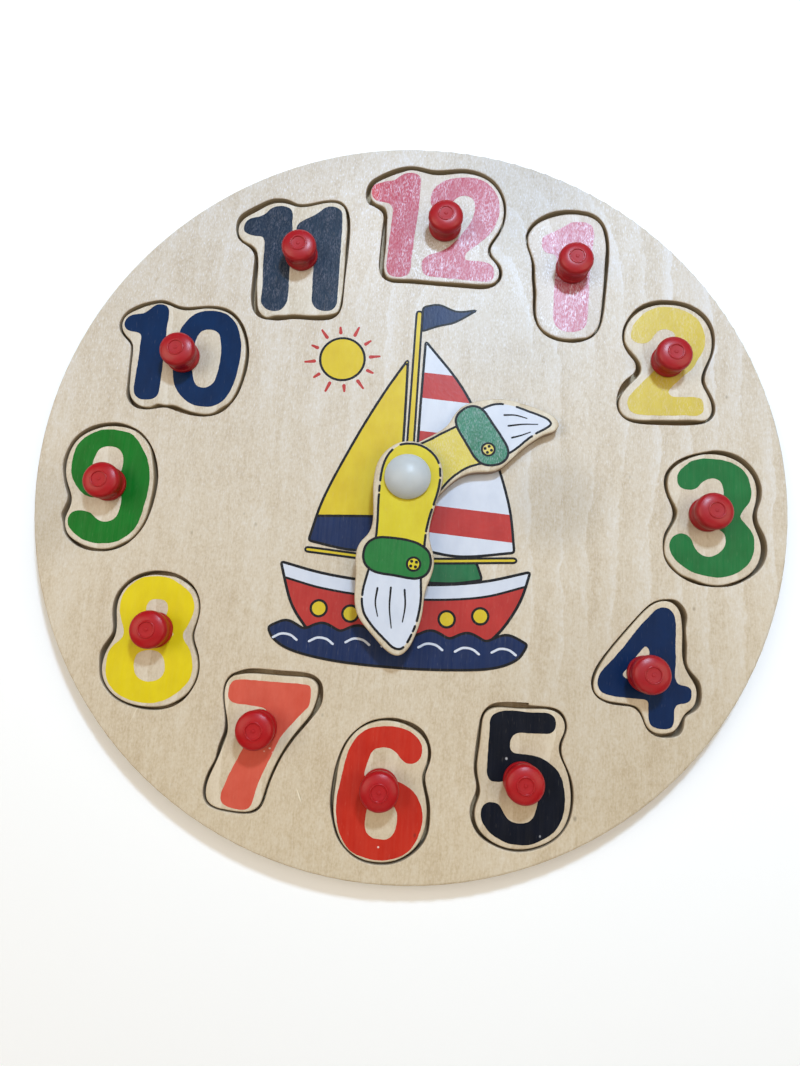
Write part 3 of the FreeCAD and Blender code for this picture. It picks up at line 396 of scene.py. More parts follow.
def veneer_bands_and_sheen(t, shift, cathedral):
    """Growth-ring bands of the veneer together with its satin sheen, painted into the colour: bands that brighten
    slowly and end in a crisp, slightly ragged edge, nested in an arch or running with the grain. On the dial they fade
    towards the left, towards 6 o'clock and at the top."""
    x, y, z = t.split(t.mm())
    wob = t.math("MULTIPLY", t.math("SUBTRACT", t.noise(t.at((0.020, 0.0085, 0.02), (shift[0] + 3.0, shift[1] + 9.0, 0)), 3.0, 0.55), 0.5), 26.0)
    if cathedral:
        lean = t.math("ADD", t.math("SUBTRACT", x, 22.0), t.math("MULTIPLY", y, -0.02))
        up = t.math("MULTIPLY", t.math("MAXIMUM", t.math("SUBTRACT", y, 58.0), 0.0), 0.55)
        d = t.math("SQRT", t.math("ADD", t.math("MULTIPLY", lean, lean), t.math("MULTIPLY", up, up)))
    else:
        d = t.math("ADD", t.math("ADD", x, 400.0), t.math("MULTIPLY", y, 0.03))
    ragged = t.math("MULTIPLY", t.math("SUBTRACT", t.noise(t.at((0.10, 0.075, 0.1), shift), 3.0, 0.58), 0.5), 6.0)
    d = t.math("ADD", t.math("ADD", d, wob), ragged)
    saw = t.math("FRACT", t.math("ADD", t.math("DIVIDE", d, 12.0), 0.83))
    ridge = t.math("POWER", saw, 2.2)
    edge = t.remap(saw, 0.955, 1.0, 1.0, 0.0)
    ridge = t.math("MULTIPLY", ridge, edge)
    where = t.remap(t.noise(t.at((0.028, 0.011, 0.02), (shift[0] + 7.0, shift[1] + 2.0, 0.0)), 2.0), 0.38, 0.52, 0.25, 1.0)
    if cathedral:
        east = t.remap(x, -40.0, 45.0, 0.35, 1.0)
        south = t.remap(y, -90.0, 30.0, 0.25, 1.0)
        where = t.math("MULTIPLY", where, t.math("MULTIPLY", east, south))
        where = t.math("MULTIPLY", where, t.math("MULTIPLY", t.remap(d, 6.0, 18.0, 0.4, 1.0), t.remap(y, 112.0, 138.0, 1.0, 0.35)))
    return t.math("MULTIPLY", ridge, where)


def wood(name, pale, mid, dark, shift=(0, 0, 0), plies=None, side_tone=1.0,
         cathedral=False, marks=None, rough=0.5, face_tint=None, side_rgb=None, sparkle=1.0, gloss=0.21, glint=None):
    t = Nodes(name)
    fibre, fine, streak, cloud, pore = grain(t, shift)
    x, y, z = t.split(t.mm())
    # band: the veneer's growth-ring bands with its satin sheen painted in
    band = veneer_bands_and_sheen(t, shift, cathedral)
    grit = t.noise(t.at((1.25, 0.95, 1.25), shift), 2.0, 0.65)
    fleck = t.noise(t.at((0.46, 0.30, 0.46), (shift[0] + 11.0, shift[1], 2.0)), 3.0, 0.62)
    tone = t.math("ADD", t.math("MULTIPLY", t.math("SUBTRACT", fibre, 0.5), 0.36),
                  t.math("MULTIPLY", t.math("SUBTRACT", streak, 0.5), 0.30))
    tone = t.math("ADD", tone, t.math("MULTIPLY", t.math("SUBTRACT", cloud, 0.5), 0.58))
    tone = t.math("ADD", tone, t.math("MULTIPLY", t.math("SUBTRACT", fine, 0.5), 0.42))
    tone = t.math("ADD", tone, t.math("MULTIPLY", t.math("SUBTRACT", grit, 0.5), 0.66))
    tone = t.math("ADD", tone, t.math("MULTIPLY", t.math("SUBTRACT", fleck, 0.5), 0.46))
    tone = t.math("ADD", tone, t.math("MULTIPLY", band, 0.48))
    tone = t.math("ADD", tone, 0.42, clamp=True)
    color = t.ramp(tone, [(0.12, dark), (0.46, mid), (0.86, pale)])
    pores = t.remap(pore, 0.66, 0.78, 0.0, 0.16)
    color = t.mix(color, tuple(c * 0.66 for c in dark), pores)
    # pale bluish flecks, more of them towards 12 o'clock: partly the veneer's own raised fibres, partly painted glints
    # of the varnish in the base colour
    raised = t.noise(t.at((2.8, 0.55, 2.8), (shift[0] + 5.0, shift[1] + 8.0, 1.0)), 2.0, 0.6)
    north = t.remap(y, -60.0, 110.0, 0.25, 0.95 * sparkle)
    color = t.mix(color, tuple(min(1.0, c * k + 0.02) for c, k in zip(pale, (1.07, 1.13, 1.26))),
                  t.math("MULTIPLY", t.remap(raised, 0.54, 0.74, 0.0, 1.0), north))
    # pale and dark grains in the base colour, placed where the photo's varnish
    # glitters: a painted stand-in for glints, which stays put in every view
    if glint is not None:
        cx, cy, near, far, k = glint
        grains = t.noise(t.at((2.3, 1.0, 2.3), (shift[0] + 3.0, shift[1] + 1.0, 4.0)), 2.0, 0.6)
        gather = t.remap(t.noise(t.at((0.26, 0.10, 0.26), (shift[0] + 7.0, shift[1] + 2.0, 0.0)), 2.0, 0.5), 0.38, 0.62, 0.4, 1.6)
        here = t.math("MULTIPLY", t.near(x, y, cx, cy, near, far, k, 0.0), gather)
        color = t.mix(color, tuple(c * 0.74 for c in mid), t.math("MULTIPLY", t.remap(grains, 0.30, 0.52, 1.0, 0.0), here))
        color = t.mix(color, lin(234, 238, 250), t.math("MULTIPLY", t.remap(grains, 0.50, 0.70, 0.0, 1.0), here))
    if face_tint is not None:
        color = face_tint(t, color, x, y)
    if marks is not None:
        color = marks(t, color)
    # edges: crossed plies
    if plies is not None:
        z0, z1, splits = plies
        u = t.remap(z, z0, z1)
        end = t.noise(t.at((2.6, 2.6, 0.9), shift), 3.0, 0.65)
        side_base = side_rgb or mid
        long_ply = t.mix(tuple(c * 0.86 for c in side_base), tuple(min(1, c * 1.10) for c in side_base), end)
        end_ply = t.mix(tuple(c * 0.58 for c in side_base), tuple(c * 0.86 for c in side_base), end)
        stops = []
        flip = False
        for p in splits:
            stops.append((p, (1, 1, 1) if flip else (0, 0, 0)))
            flip = not flip
        layer = t.ramp(u, stops, "CONSTANT")
        side = t.mix(long_ply, end_ply, layer)
        glue = None
        for p in splits[1:]:
            g = t.remap(t.math("ABSOLUTE", t.math("SUBTRACT", u, p)), 0.0, 0.022, 1.0, 0.0)
            glue = g if glue is None else t.math("MAXIMUM", glue, g)
        if glue is not None:
            side = t.mix(side, tuple(c * 0.40 for c in side_base), t.math("MULTIPLY", glue, 0.7))
        if side_tone != 1.0:
            side = t.multiply(side, (side_tone,) * 3)
        nz = t.math("ABSOLUTE", t.normal_z())
        face = t.remap(nz, 0.25, 0.62, 0.0, 1.0, smooth=True)
        color = t.mix(side, color, face)
    normal = t.bump(fibre, 0.4, 0.00005)
    return t.shader(color, rough, normal, lacquer(t, fibre, sparkle), IOR=1.47, Specular_IOR_Level=0.08,
                    Coat_Weight=gloss, Coat_Roughness=0.40, Coat_IOR=1.9)


def lacquer(t, fibre, amount):
    """Thin varnish that follows the raised fibres."""
    grit = t.noise(t.at((0.85, 0.62, 0.85), (3.3, 1.9, 0.0)), 2.0, 0.5)
    height = t.math("ADD", grit, t.math("MULTIPLY", fibre, 0.25))
    return t.bump(height, 1.0, 0.00010 * amount)


def painted_light_tint(t, color, x, y):
    """Painted light: the colour is a little cooler and paler towards 12 o'clock, under the cool lamp and its sheen, and
    a little warmer towards 6 o'clock, under the warm room light."""
    f = t.remap(y, -130.0, 140.0)
    warm = t.multiply(color, (1.035, 0.985, 0.90))
    cool = t.multiply(color, (0.945, 0.975, 1.09))
    color = t.mix(warm, cool, f)
    # broad paler and darker areas, set by comparison with the photo: painted light and painted shade from its uneven
    # light, together with the veneer's own tone
    painted_light_gain = None
    for cx, cy, near, far, k in ((-28, 108, 8, 45, 1.08), (40, 128, 10, 48, 0.84), (58, -4, 8, 27, 0.85),
                                 (38, 64, 10, 42, 0.92), (-146, -22, 6, 30, 0.87), (92, -86, 25, 70, 0.94)):
        g = t.near(x, y, cx, cy, near, far, k, 1.0)
        painted_light_gain = g if painted_light_gain is None else t.math("MULTIPLY", painted_light_gain, g)
    return t.vec("SCALE", color, painted_light_gain)


PALE = lin(212, 205, 193)
MID = lin(201, 188, 166)
DARK = lin(183, 166, 140)

def dial_marks(t, color):
    # a pressed scratch, a mineral fleck and a few pin knots
    color = t.mix(color, tuple(c * 0.60 for c in DARK), t.math("MULTIPLY", t.spot(-31.7, -121.6, 0.20, 1.7, 0.4, 0.42), 0.6))
    color = t.mix(color, lin(236, 224, 200), t.math("MULTIPLY", t.spot(-32.1, -121.4, 0.26, 2.3, 0.4, 0.42), 0.8))
    color = t.mix(color, lin(232, 220, 196), t.math("MULTIPLY", t.spot(-97.0, -96.0, 0.16, 5.5, 0.4, -0.35), 0.35))
    for px, py, r, k in ((69.5, -122.0, 0.55, 0.6), (126.5, 44.0, 0.45, 0.5), (113.0, -42.5, 0.5, 0.45),
                         (-59.0, -21.0, 0.5, 0.35), (-64.0, -17.0, 0.35, 0.3), (-84.0, -26.0, 0.45, 0.35),
                         (-38.0, -61.0, 0.5, 0.35), (-26.0, -92.0, 0.4, 0.35), (88.0, 8.0, 0.4, 0.3)):
        color = t.mix(color, tuple(c * 0.42 for c in DARK), t.math("MULTIPLY", t.spot(px, py, r, r * 1.5, 0.5), k))
    return color


# ------------------------------------------------------------------ plastics
def red_plastic(name, cx, cy, painted_light_amount=0.0):
    """Moulded red plastic, more satin in the dish of the crown at (cx, cy) mm.
    The last argument makes one knob's red a little stronger than another's: painted light, for the knobs round 6
    o'clock, which catch more light."""
    t = Nodes(name)
    cloud = t.noise(t.at((0.5, 0.5, 0.5)), 3.0, 0.55)
    fine = t.noise(t.at((5.0, 5.0, 5.0)), 2.0, 0.6)
    # painted light: a stronger, more saturated red on the knobs that catch more light
    painted_light_gain = (1.0 + 0.15 * painted_light_amount, 1.0 - 0.5 * painted_light_amount, 1.0 - 0.45 * painted_light_amount)
    base = t.mix(*(tuple(c * k for c, k in zip(lin(*rgb), painted_light_gain)) for rgb in ((148, 14, 23), (168, 22, 31))), cloud)
    scuff = t.remap(t.noise(t.at((2.2, 5.5, 2.2), (4.0, 0, 0)), 4.0, 0.7), 0.62, 0.78, 0.0, 0.10 - 0.04 * painted_light_amount)
    base = t.mix(base, lin(206, 96, 104), scuff)
    x, y, z = t.split(t.vec("SUBTRACT", t.mm(), (cx, cy, 0.0)))
    r = t.math("SQRT", t.math("ADD", t.math("MULTIPLY", x, x), t.math("MULTIPLY", y, y)))
    crown = t.remap(z, 17.8, 18.2, 0.0, 1.0)
    dish = t.math("MULTIPLY", t.remap(r, 2.3, 2.7, 1.0, 0.0), crown)
    normal = t.bump(t.math("ADD", t.math("MULTIPLY", cloud, 0.6), t.math("MULTIPLY", fine, 0.12)), 0.25, 0.00018)
    rough = t.math("ADD", 0.36, t.math("MULTIPLY", dish, 0.22))
    return t.shader(base, rough, normal, IOR=1.49, Specular_IOR_Level=0.44 - 0.10 * painted_light_amount,
                    Subsurface_Weight=0.05, Subsurface_Radius=(0.0016, 0.0003, 0.0002), Subsurface_Scale=1.0)


def white_plastic(name, tint=(189, 193, 194), rough=0.40):
    t = Nodes(name)
    cloud = t.noise(t.at((0.35, 0.35, 0.35)), 3.0, 0.5)
    fine = t.noise(t.at((5.0, 5.0, 5.0)), 2.0, 0.5)
    a = lin(*tint)
    base = t.mix(tuple(c * 0.94 for c in a), a, cloud)
    normal = t.bump(t.math("ADD", cloud, t.math("MULTIPLY", fine, 0.1)), 0.2, 0.0002)
    return t.shader(base, rough, normal, IOR=1.47, Specular_IOR_Level=0.5,
                    Subsurface_Weight=0.35, Subsurface_Radius=(0.003, 0.0026, 0.0022), Subsurface_Scale=1.0)


def steel():
    t = Nodes("zinc_screw")
    n = t.noise(t.at((3.0, 3.0, 9.0)), 3.0, 0.6)
    base = t.mix(lin(150, 150, 152), lin(196, 196, 194), n)
    rough = t.math("ADD", 0.28, t.math("MULTIPLY", n, 0.2))
    return t.shader(base, rough, t.bump(n, 0.3, 0.00008), Metallic=1.0)


def washer_plastic():
    t = Nodes("washer_nylon")
    n = t.noise(t.at((1.4, 1.4, 1.4)), 3.0, 0.55)
    base = t.mix(lin(196, 196, 190), lin(216, 216, 210), n)
    return t.shader(base, t.math("ADD", 0.42, t.math("MULTIPLY", n, 0.12)), t.bump(n, 0.15, 0.0001))


# ------------------------------------------------------------------ ink
def ink(name, rgb, rgb2=None, fade=0.05, rough=0.5, speck=0.035, paint=None, fibres=0.5, sparkle=1.0, painted_glint=0.0, gloss=0.2, lit=None):
    """Screen-printed ink over veneer: a little cloudy, thin along the pores."""
    t = Nodes(name)
    fibre, fine, streak, cloud, pore = grain(t, (1.7, 0.4, 0.0))
    a = lin(*rgb)
    b = lin(*rgb2) if rgb2 else tuple(c * (1 - 0.16) for c in a)
    mott = t.noise(t.at((0.16, 0.10, 0.1)), 3.0, 0.6)
    color = t.mix(b, a, t.remap(mott, 0.30, 0.66))
    if paint is not None:
        color = paint(t, color)
    thin = t.remap(pore, 0.66, 0.78, 0.0, speck)
    color = t.mix(color, MID, thin)
    lift = t.remap(fibre, 0.35, 0.75, 0.0, fade)
    color = t.mix(color, MID, t.math("MULTIPLY", lift, fibres))
    # pale specks in the base colour, a painted stand-in for the varnish's glints
    if painted_glint:
        m = t.noise(t.at((2.7, 0.8, 2.7), (8.0, 2.0, 0.0)), 2.0, 0.6)
        gather = t.remap(t.noise(t.at((0.30, 0.11, 0.30), (21.0, 5.0, 0.0)), 2.0, 0.5), 0.38, 0.62, 0.5, 1.5)
        m = t.math("MULTIPLY", t.remap(m, 0.45, 0.75, 0.0, painted_glint), gather)
        if lit is not None:
            x, y, z = t.split(t.mm())
            m = t.math("MULTIPLY", m, t.near(x, y, *lit))
        color = t.mix(color, lin(230, 224, 242), m)
    normal = t.bump(fine, 0.3, 0.00003)
    return t.shader(color, rough, normal, lacquer(t, fibre, sparkle), IOR=1.47, Specular_IOR_Level=0.08,
                    Coat_Weight=gloss, Coat_Roughness=0.40, Coat_IOR=1.9)


# ------------------------------------------------------------------ flat shapes
def smooth_loop(points, step=0.9, wobble=0.0, seed=0):
    """Closed cubic spline through the points, sampled about every step mm."""
    p = np.array(points, float)
    n = len(p)
    h = np.linalg.norm(np.roll(p, -1, 0) - p, axis=1)
    a = np.zeros((n, n))
    r = np.zeros((n, 2))
    for i in range(n):
        hp, hc = h[i - 1], h[i]
        a[i, i - 1] += hp
        a[i, i] += 2 * (hp + hc)
        a[i, (i + 1) % n] += hc
        r[i] = 6 * ((p[(i + 1) % n] - p[i]) / hc - (p[i] - p[i - 1]) / hp)
    m = np.linalg.solve(a, r)
    out = []
    for i in range(n):
        j = (i + 1) % n
        k = max(2, int(round(h[i] / step)))
        for s in range(k):
            u = s / k * h[i]
            v = h[i] - u
            out.append((m[i] * v ** 3 + m[j] * u ** 3) / (6 * h[i])
                       + (p[i] / h[i] - m[i] * h[i] / 6) * v + (p[j] / h[i] - m[j] * h[i] / 6) * u)
    q = np.array(out)
    if wobble:
        rng = random.Random(seed)
        noise = np.array([rng.uniform(-1, 1) for _ in range(len(q))])
        noise = (noise + 0.6 * np.roll(noise, 1) + 0.3 * np.roll(noise, 2)) / 1.5
        d = np.roll(q, -1, 0) - np.roll(q, 1, 0)
        d /= np.linalg.norm(d, axis=1)[:, None] + 1e-9
        q = q + np.stack([d[:, 1], -d[:, 0]], 1) * noise[:, None] * wobble
    return [tuple(v) for v in q]


def flat_mesh(name, regions, z0, z1):
    """Closed thin slab of flat regions. Each region is a list of loops: the
    outer one, then its holes. Millimetres in, metres out."""
    verts, faces = [], []
    for loops in regions:
        loops3 = [[Vector((x, y, 0.0)) for x, y in l] for l in loops]
        tris = tessellate_polygon(loops3)
        flat = [v for l in loops3 for v in l]
        base = len(verts)
        count = len(flat)
        verts += [(v.x * MM, v.y * MM, z1 * MM) for v in flat]
        verts += [(v.x * MM, v.y * MM, z0 * MM) for v in flat]
        for a, b, c in tris:
            pa, pb, pc = flat[a], flat[b], flat[c]
            area = (pb.x - pa.x) * (pc.y - pa.y) - (pb.y - pa.y) * (pc.x - pa.x)
            if abs(area) < 1e-9:
                pass
            if area < 0:
                b, c = c, b
            faces.append((base + a, base + b, base + c))
            faces.append((base + count + c, base + count + b, base + count + a))
        start = base
        for k, l in enumerate(loops):
            m = len(l)
            area = sum(l[i][0] * l[(i + 1) % m][1] - l[(i + 1) % m][0] * l[i][1] for i in range(m))
            ccw = area > 0
            if k:
                ccw = not ccw
            for i in range(m):
                a, b = start + i, start + (i + 1) % m
                q = (a, a + count, b + count, b)
                faces.append(q if ccw else q[::-1])
            start += m
    me = bpy.data.meshes.new(name)
    me.from_pydata(verts, [], faces)
    me.validate()
    me.update()
    ob = bpy.data.objects.new(name, me)
    scene.collection.objects.link(ob)
    return ob


def ribbon_loops(path, width, closed=False, taper=(1.0, 1.0)):
    """Outline of a line of the given width along a path of points (mm)."""
    p = np.array(path, float)
    n = len(p)
    if closed:
        d = np.roll(p, -1, 0) - np.roll(p, 1, 0)
    else:
        d = np.gradient(p, axis=0)
    d /= np.linalg.norm(d, axis=1)[:, None] + 1e-12
    nrm = np.stack([-d[:, 1], d[:, 0]], 1)
    w = np.full(n, width / 2.0)
    if not closed:
        s = np.linspace(0, 1, n)
        w = w * (taper[0] + (taper[1] - taper[0]) * s)
    left = p + nrm * w[:, None]
    right = p - nrm * w[:, None]
    if closed:
        la = sum(left[i][0] * left[(i + 1) % n][1] - left[(i + 1) % n][0] * left[i][1] for i in range(n))
        ra = sum(right[i][0] * right[(i + 1) % n][1] - right[(i + 1) % n][0] * right[i][1] for i in range(n))
        outer, inner = (left, right) if abs(la) > abs(ra) else (right, left)
        return [[tuple(v) for v in outer], [tuple(v) for v in inner]]
    cap_a, cap_b = [], []
    for k in (1, 2, 3):
        ang = math.pi * k / 4
        cap_b.append(p[-1] + (nrm[-1] * math.cos(ang) + d[-1] * math.sin(ang)) * w[-1])
        cap_a.append(p[0] + (-nrm[0] * math.cos(ang) - d[0] * math.sin(ang)) * w[0])
    loop = list(left) + cap_b + list(right[::-1]) + cap_a
    return [[tuple(v) for v in loop]]


def open_spline(points, step=0.8):
    """Smooth open curve through points (centripetal Catmull-Rom)."""
    p = [np.array(q, float) for q in points]
    p = [2 * p[0] - p[1]] + p + [2 * p[-1] - p[-2]]
    out = []
    for i in range(1, len(p) - 2):
        a, b, c, d = p[i - 1], p[i], p[i + 1], p[i + 2]
        k = max(2, int(round(np.linalg.norm(c - b) / step)))
        for s in range(k):
            t = s / k
            out.append(0.5 * ((2 * b) + (c - a) * t + (2 * a - 5 * b + 4 * c - d) * t * t
                              + (3 * b - a - 3 * c + d) * t ** 3))
    out.append(p[-2])
    return [tuple(v) for v in out]


def print_on(name, regions, level, mat, body, thickness=0.03):
    """A layer of ink: regions in mm, level in mm above the dial's frame."""
    ob = flat_mesh(name, regions, level - thickness, level)
    ob.data.materials.append(mat)
    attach(ob, body)
    return ob


# ------------------------------------------------------------------ materials on the CAD nodes
def give(node, mat):
    me = NODES[node].data
    me.materials.clear()
    me.materials.append(mat)


give("front_board", wood("dial_plywood", PALE, MID, DARK, (0, 0, 0), (3.0, 9.0, [0.0, 0.27, 0.73]),
                         side_tone=0.80, cathedral=True, marks=dial_marks, face_tint=painted_light_tint,
                         side_rgb=lin(186, 170, 146), glint=(22.0, 104.0, 20.0, 80.0, 0.22)))
give("backing_board", wood("backing_plywood", lin(190, 168, 134), lin(172, 148, 114), lin(146, 120, 88),
                           (40.0, 3.0, 0.0), (0.0, 3.0, [0.0, 0.30, 0.70]), rough=0.58,
                           side_rgb=lin(186, 160, 124)))

# painted light: stronger reds for the knobs from 5 to 10 o'clock, which catch more light
KNOB_PAINTED_LIGHT = {5: 0.7, 6: 0.9, 7: 1.0, 8: 0.9, 9: 0.6, 10: 0.1}
SCREW = steel()
for n in range(1, 13):
    shift = (13.0 * n + 2.0, 3.7 * n, 0.0)
    lift = 1.0 + 0.012 * ((n * 7) % 5 - 2)
    # The pieces' wood is a little warmer towards 6 o'clock and cooler towards 12 o'clock: painted light, like the
    # dial's. Pieces 12 and 1 are set a little darker and bluer: painted light as well.
    north = 0.5 + 0.5 * math.cos(math.radians(30.0 * n))
    tint = [lift * (a + (b - a) * north) for a, b in ((1.06, 1.0), (0.985, 1.01), (0.885, 1.06))]
    if n in (12, 1):
        tint = [a * b for a, b in zip(tint, (0.94, 0.93, 0.98))]
    pale, mid, dark = [tuple(c * k for c, k in zip(lin(*rgb), tint))
                       for rgb in ((208, 199, 182), (196, 184, 163), (179, 163, 138))]
    give("number_piece_%02d" % n,
         wood("piece_plywood_%02d" % n, pale, mid, dark, shift, (3.05, 9.0, [0.0, 0.27, 0.73]), side_rgb=lin(186, 166, 134),
              glint={12: (20.0, 96.0, 12.0, 50.0, 0.60), 1: (48.0, 92.0, 10.0, 50.0, 0.55)}.get(n)))
    lo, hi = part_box("knob_%02d" % n)
    give("knob_%02d" % n, red_plastic("knob_plastic_%02d" % n, 500.0 * (lo[0] + hi[0]), 500.0 * (lo[1] + hi[1]),
                                      KNOB_PAINTED_LIGHT.get(n, 0.0)))
    give("knob_screw_%02d" % n, SCREW)

HAND_WOOD = {}
for node, z0 in (("hour_hand", 9.55), ("minute_hand", 13.95)):
    HAND_WOOD[node] = wood(node + "_plywood", lin(208, 196, 174), lin(196, 180, 154), lin(174, 154, 126),
                           (60.0 + z0, 8.0, 0.0), (z0, z0 + 3.8, [0.0, 0.30, 0.70]),
                           side_rgb=lin(158, 132, 110))
    give(node, HAND_WOOD[node])
CAP = white_plastic("hub_cap_plastic")
give("hub_cap", CAP)
give("hub_rear_rivet", white_plastic("hub_rivet_plastic", (222, 222, 216)))
WASHER = washer_plastic()
give("hub_lower_washer", WASHER)
give("hub_middle_washer", WASHER)


# ------------------------------------------------------------------ numerals
def spots(*items):
    def paint(t, color):
        for x, y, rx, ry, rgb, k in items:
            color = t.mix(color, lin(*rgb), t.math("MULTIPLY", t.spot(x, y, rx, ry, 0.4), k))
        return color
    return paint


SHEEN_EDGE_12 = -20.9


def painted_sheen_edge_12(t, color):
    # the 12 painted a deeper red towards its left end, ending in a crisp line near x = -21 mm: painted shade where the
    # varnish's sheen stops
    x, y, z = t.split(t.mm())
    wob = t.math("MULTIPLY", t.math("SUBTRACT", t.noise(t.at((0.25, 0.12, 0.2)), 3.0), 0.5), 7.0)
    f = t.remap(t.math("ADD", x, wob), -23.0, -11.0, 1.0, 0.0)
    color = t.mix(color, lin(180, 34, 50), t.math("MULTIPLY", f, 0.6))
    tip = t.remap(x, SHEEN_EDGE_12 - 0.2, SHEEN_EDGE_12 + 0.2, 1.0, 0.0)
    return t.mix(color, lin(186, 26, 40), t.math("MULTIPLY", tip, 0.9))


INK_STYLE = {
    # the 1 is printed in the 12's crimson made paler and pinker: painted sheen, on top of its painted glints
    1: dict(rgb=(171, 66, 90), rgb2=(167, 50, 75), fade=0.30, speck=0.20, sparkle=1.3, painted_glint=0.80, gloss=0.50),
    2: dict(rgb=(197, 174, 38), rgb2=(189, 164, 24), fade=0.12, sparkle=1.2, painted_glint=0.15, gloss=0.42),
    3: dict(rgb=(12, 106, 50), rgb2=(8, 95, 41), gloss=0.12),
    4: dict(rgb=(0, 34, 75), rgb2=(0, 29, 66), fade=0.01, gloss=0.06),
    5: dict(rgb=(9, 15, 29), rgb2=(6, 11, 23), fade=0.02, gloss=0.06,
            paint=spots((43.7, -102.7, 0.4, 0.45, (196, 196, 196), 0.8), (57.0, -129.0, 0.3, 0.4, (180, 180, 184), 0.6))),
    6: dict(rgb=(190, 44, 26), rgb2=(180, 34, 19), gloss=0.1,
            paint=spots((-1.5, -137.0, 0.32, 0.32, (236, 226, 214), 0.8), (11.5, -132.0, 0.45, 0.7, (128, 36, 28), 0.7))),
    7: dict(rgb=(206, 86, 66), rgb2=(198, 74, 54),
            paint=spots((-45.5, -80.5, 0.55, 0.45, (246, 240, 232), 1.0), (-44.6, -105.4, 0.4, 0.3, (240, 226, 214), 0.8),
                        (-46.6, -106.6, 0.3, 0.25, (230, 200, 190), 0.6), (-43.4, -106.8, 0.25, 0.3, (230, 200, 190), 0.6))),
    8: dict(rgb=(218, 196, 8), rgb2=(210, 186, 4), gloss=0.1,
            paint=spots((-86.8, -66.0, 0.5, 0.6, (248, 240, 214), 0.9))),
    9: dict(rgb=(0, 109, 28), rgb2=(0, 98, 20), gloss=0.06),
    10: dict(rgb=(0, 38, 79), rgb2=(0, 32, 69), fade=0.008, gloss=0.06),
    11: dict(rgb=(0, 32, 56), rgb2=(0, 26, 48), fade=0.03, speck=0.10, sparkle=1.3, painted_glint=0.09, gloss=0.20),
    12: dict(rgb=(167, 38, 66), rgb2=(162, 28, 56), fade=0.16, speck=0.15, paint=painted_sheen_edge_12, sparkle=1.3, painted_glint=0.72, gloss=0.35,
             lit=(26.0, 92.0, 8.0, 46.0, 1.0, 0.62)),
}
PIECE_TOP = 9.0
for n, contours in NUMERAL.items():
    mat = ink("ink_%02d" % n, **INK_STYLE[n])
    regions = []
    for k, (outer, holes) in enumerate(contours):
        loops = [smooth_loop(outer, 0.7, 0.09, n * 10 + k)]
        for j, hole in enumerate(holes):
            loops.append(smooth_loop(hole, 0.7, 0.09, n * 10 + k + 5 + j))
        regions.append(loops)
    print_on("numeral_%02d" % n, regions, PIECE_TOP + 0.04, mat, "number_%02d" % n, 0.06)


# ------------------------------------------------------------------ hands' print
BLACK = ink("ink_black", (20, 21, 26), (14, 15, 20), fade=0.04, speck=0.08, gloss=0.1)
YELLOW = ink("ink_yellow", (206, 182, 36), (198, 170, 24), fade=0.06, speck=0.08)
GREEN = ink("ink_green", (28, 106, 62), (22, 93, 52), fade=0.06, speck=0.10)
WHITE = ink("ink_white", (204, 208, 218), (194, 199, 211), fade=0.06, speck=0.06)
RED = ink("ink_red", (178, 48, 42), (166, 40, 35), fade=0.04, speck=0.05)
NAVY = ink("ink_navy", (10, 36, 80), (7, 30, 70), fade=0.05, speck=0.04, gloss=0.15)

def inset(loop, d):
    p = np.array(loop, float)
    t = np.roll(p, -1, 0) - np.roll(p, 1, 0)
    t /= np.linalg.norm(t, axis=1)[:, None]
    n = len(p)
    area = sum(p[i][0] * p[(i + 1) % n][1] - p[(i + 1) % n][0] * p[i][1] for i in range(n))
    s = 1.0 if area > 0 else -1.0
    q = p + np.stack([-t[:, 1], t[:, 0]], 1) * d * s
    return [tuple(v) for v in q]


def clip(loop, at, normal):
    """Part of the loop where (p - at) . normal > 0."""
    out = []
    n = len(loop)
    for i in range(n):
        p, q = loop[i], loop[(i + 1) % n]
        a = (p[0] - at[0]) * normal[0] + (p[1] - at[1]) * normal[1]
        b = (q[0] - at[0]) * normal[0] + (q[1] - at[1]) * normal[1]
        if a >= 0:
            out.append(p)
        if a * b < 0:
            u = a / (a - b)
            out.append((p[0] + (q[0] - p[0]) * u, p[1] + (q[1] - p[1]) * u))
    return out


def circle(cx, cy, r, k=28):
    return [(cx + r * math.cos(2 * math.pi * i / k), cy + r * math.sin(2 * math.pi * i / k)) for i in range(k)]


def worn_line(loop, width, gaps):
    """Closed printed line with short worn gaps: list of (x, y, radius)."""
    n = len(loop)
    keep = [all(math.hypot(p[0] - g[0], p[1] - g[1]) > g[2] for g in gaps) for p in loop]
    if all(keep):
        return [ribbon_loops(loop, width, True)]
    start = keep.index(False)
    runs, run = [], []
    for i in range(start, start + n + 1):
        if keep[i % n]:
            run.append(loop[i % n])
        elif run:
            runs.append(run)
            run = []
    if run:
        runs.append(run)
    return [ribbon_loops(r, width) for r in runs if len(r) > 3]


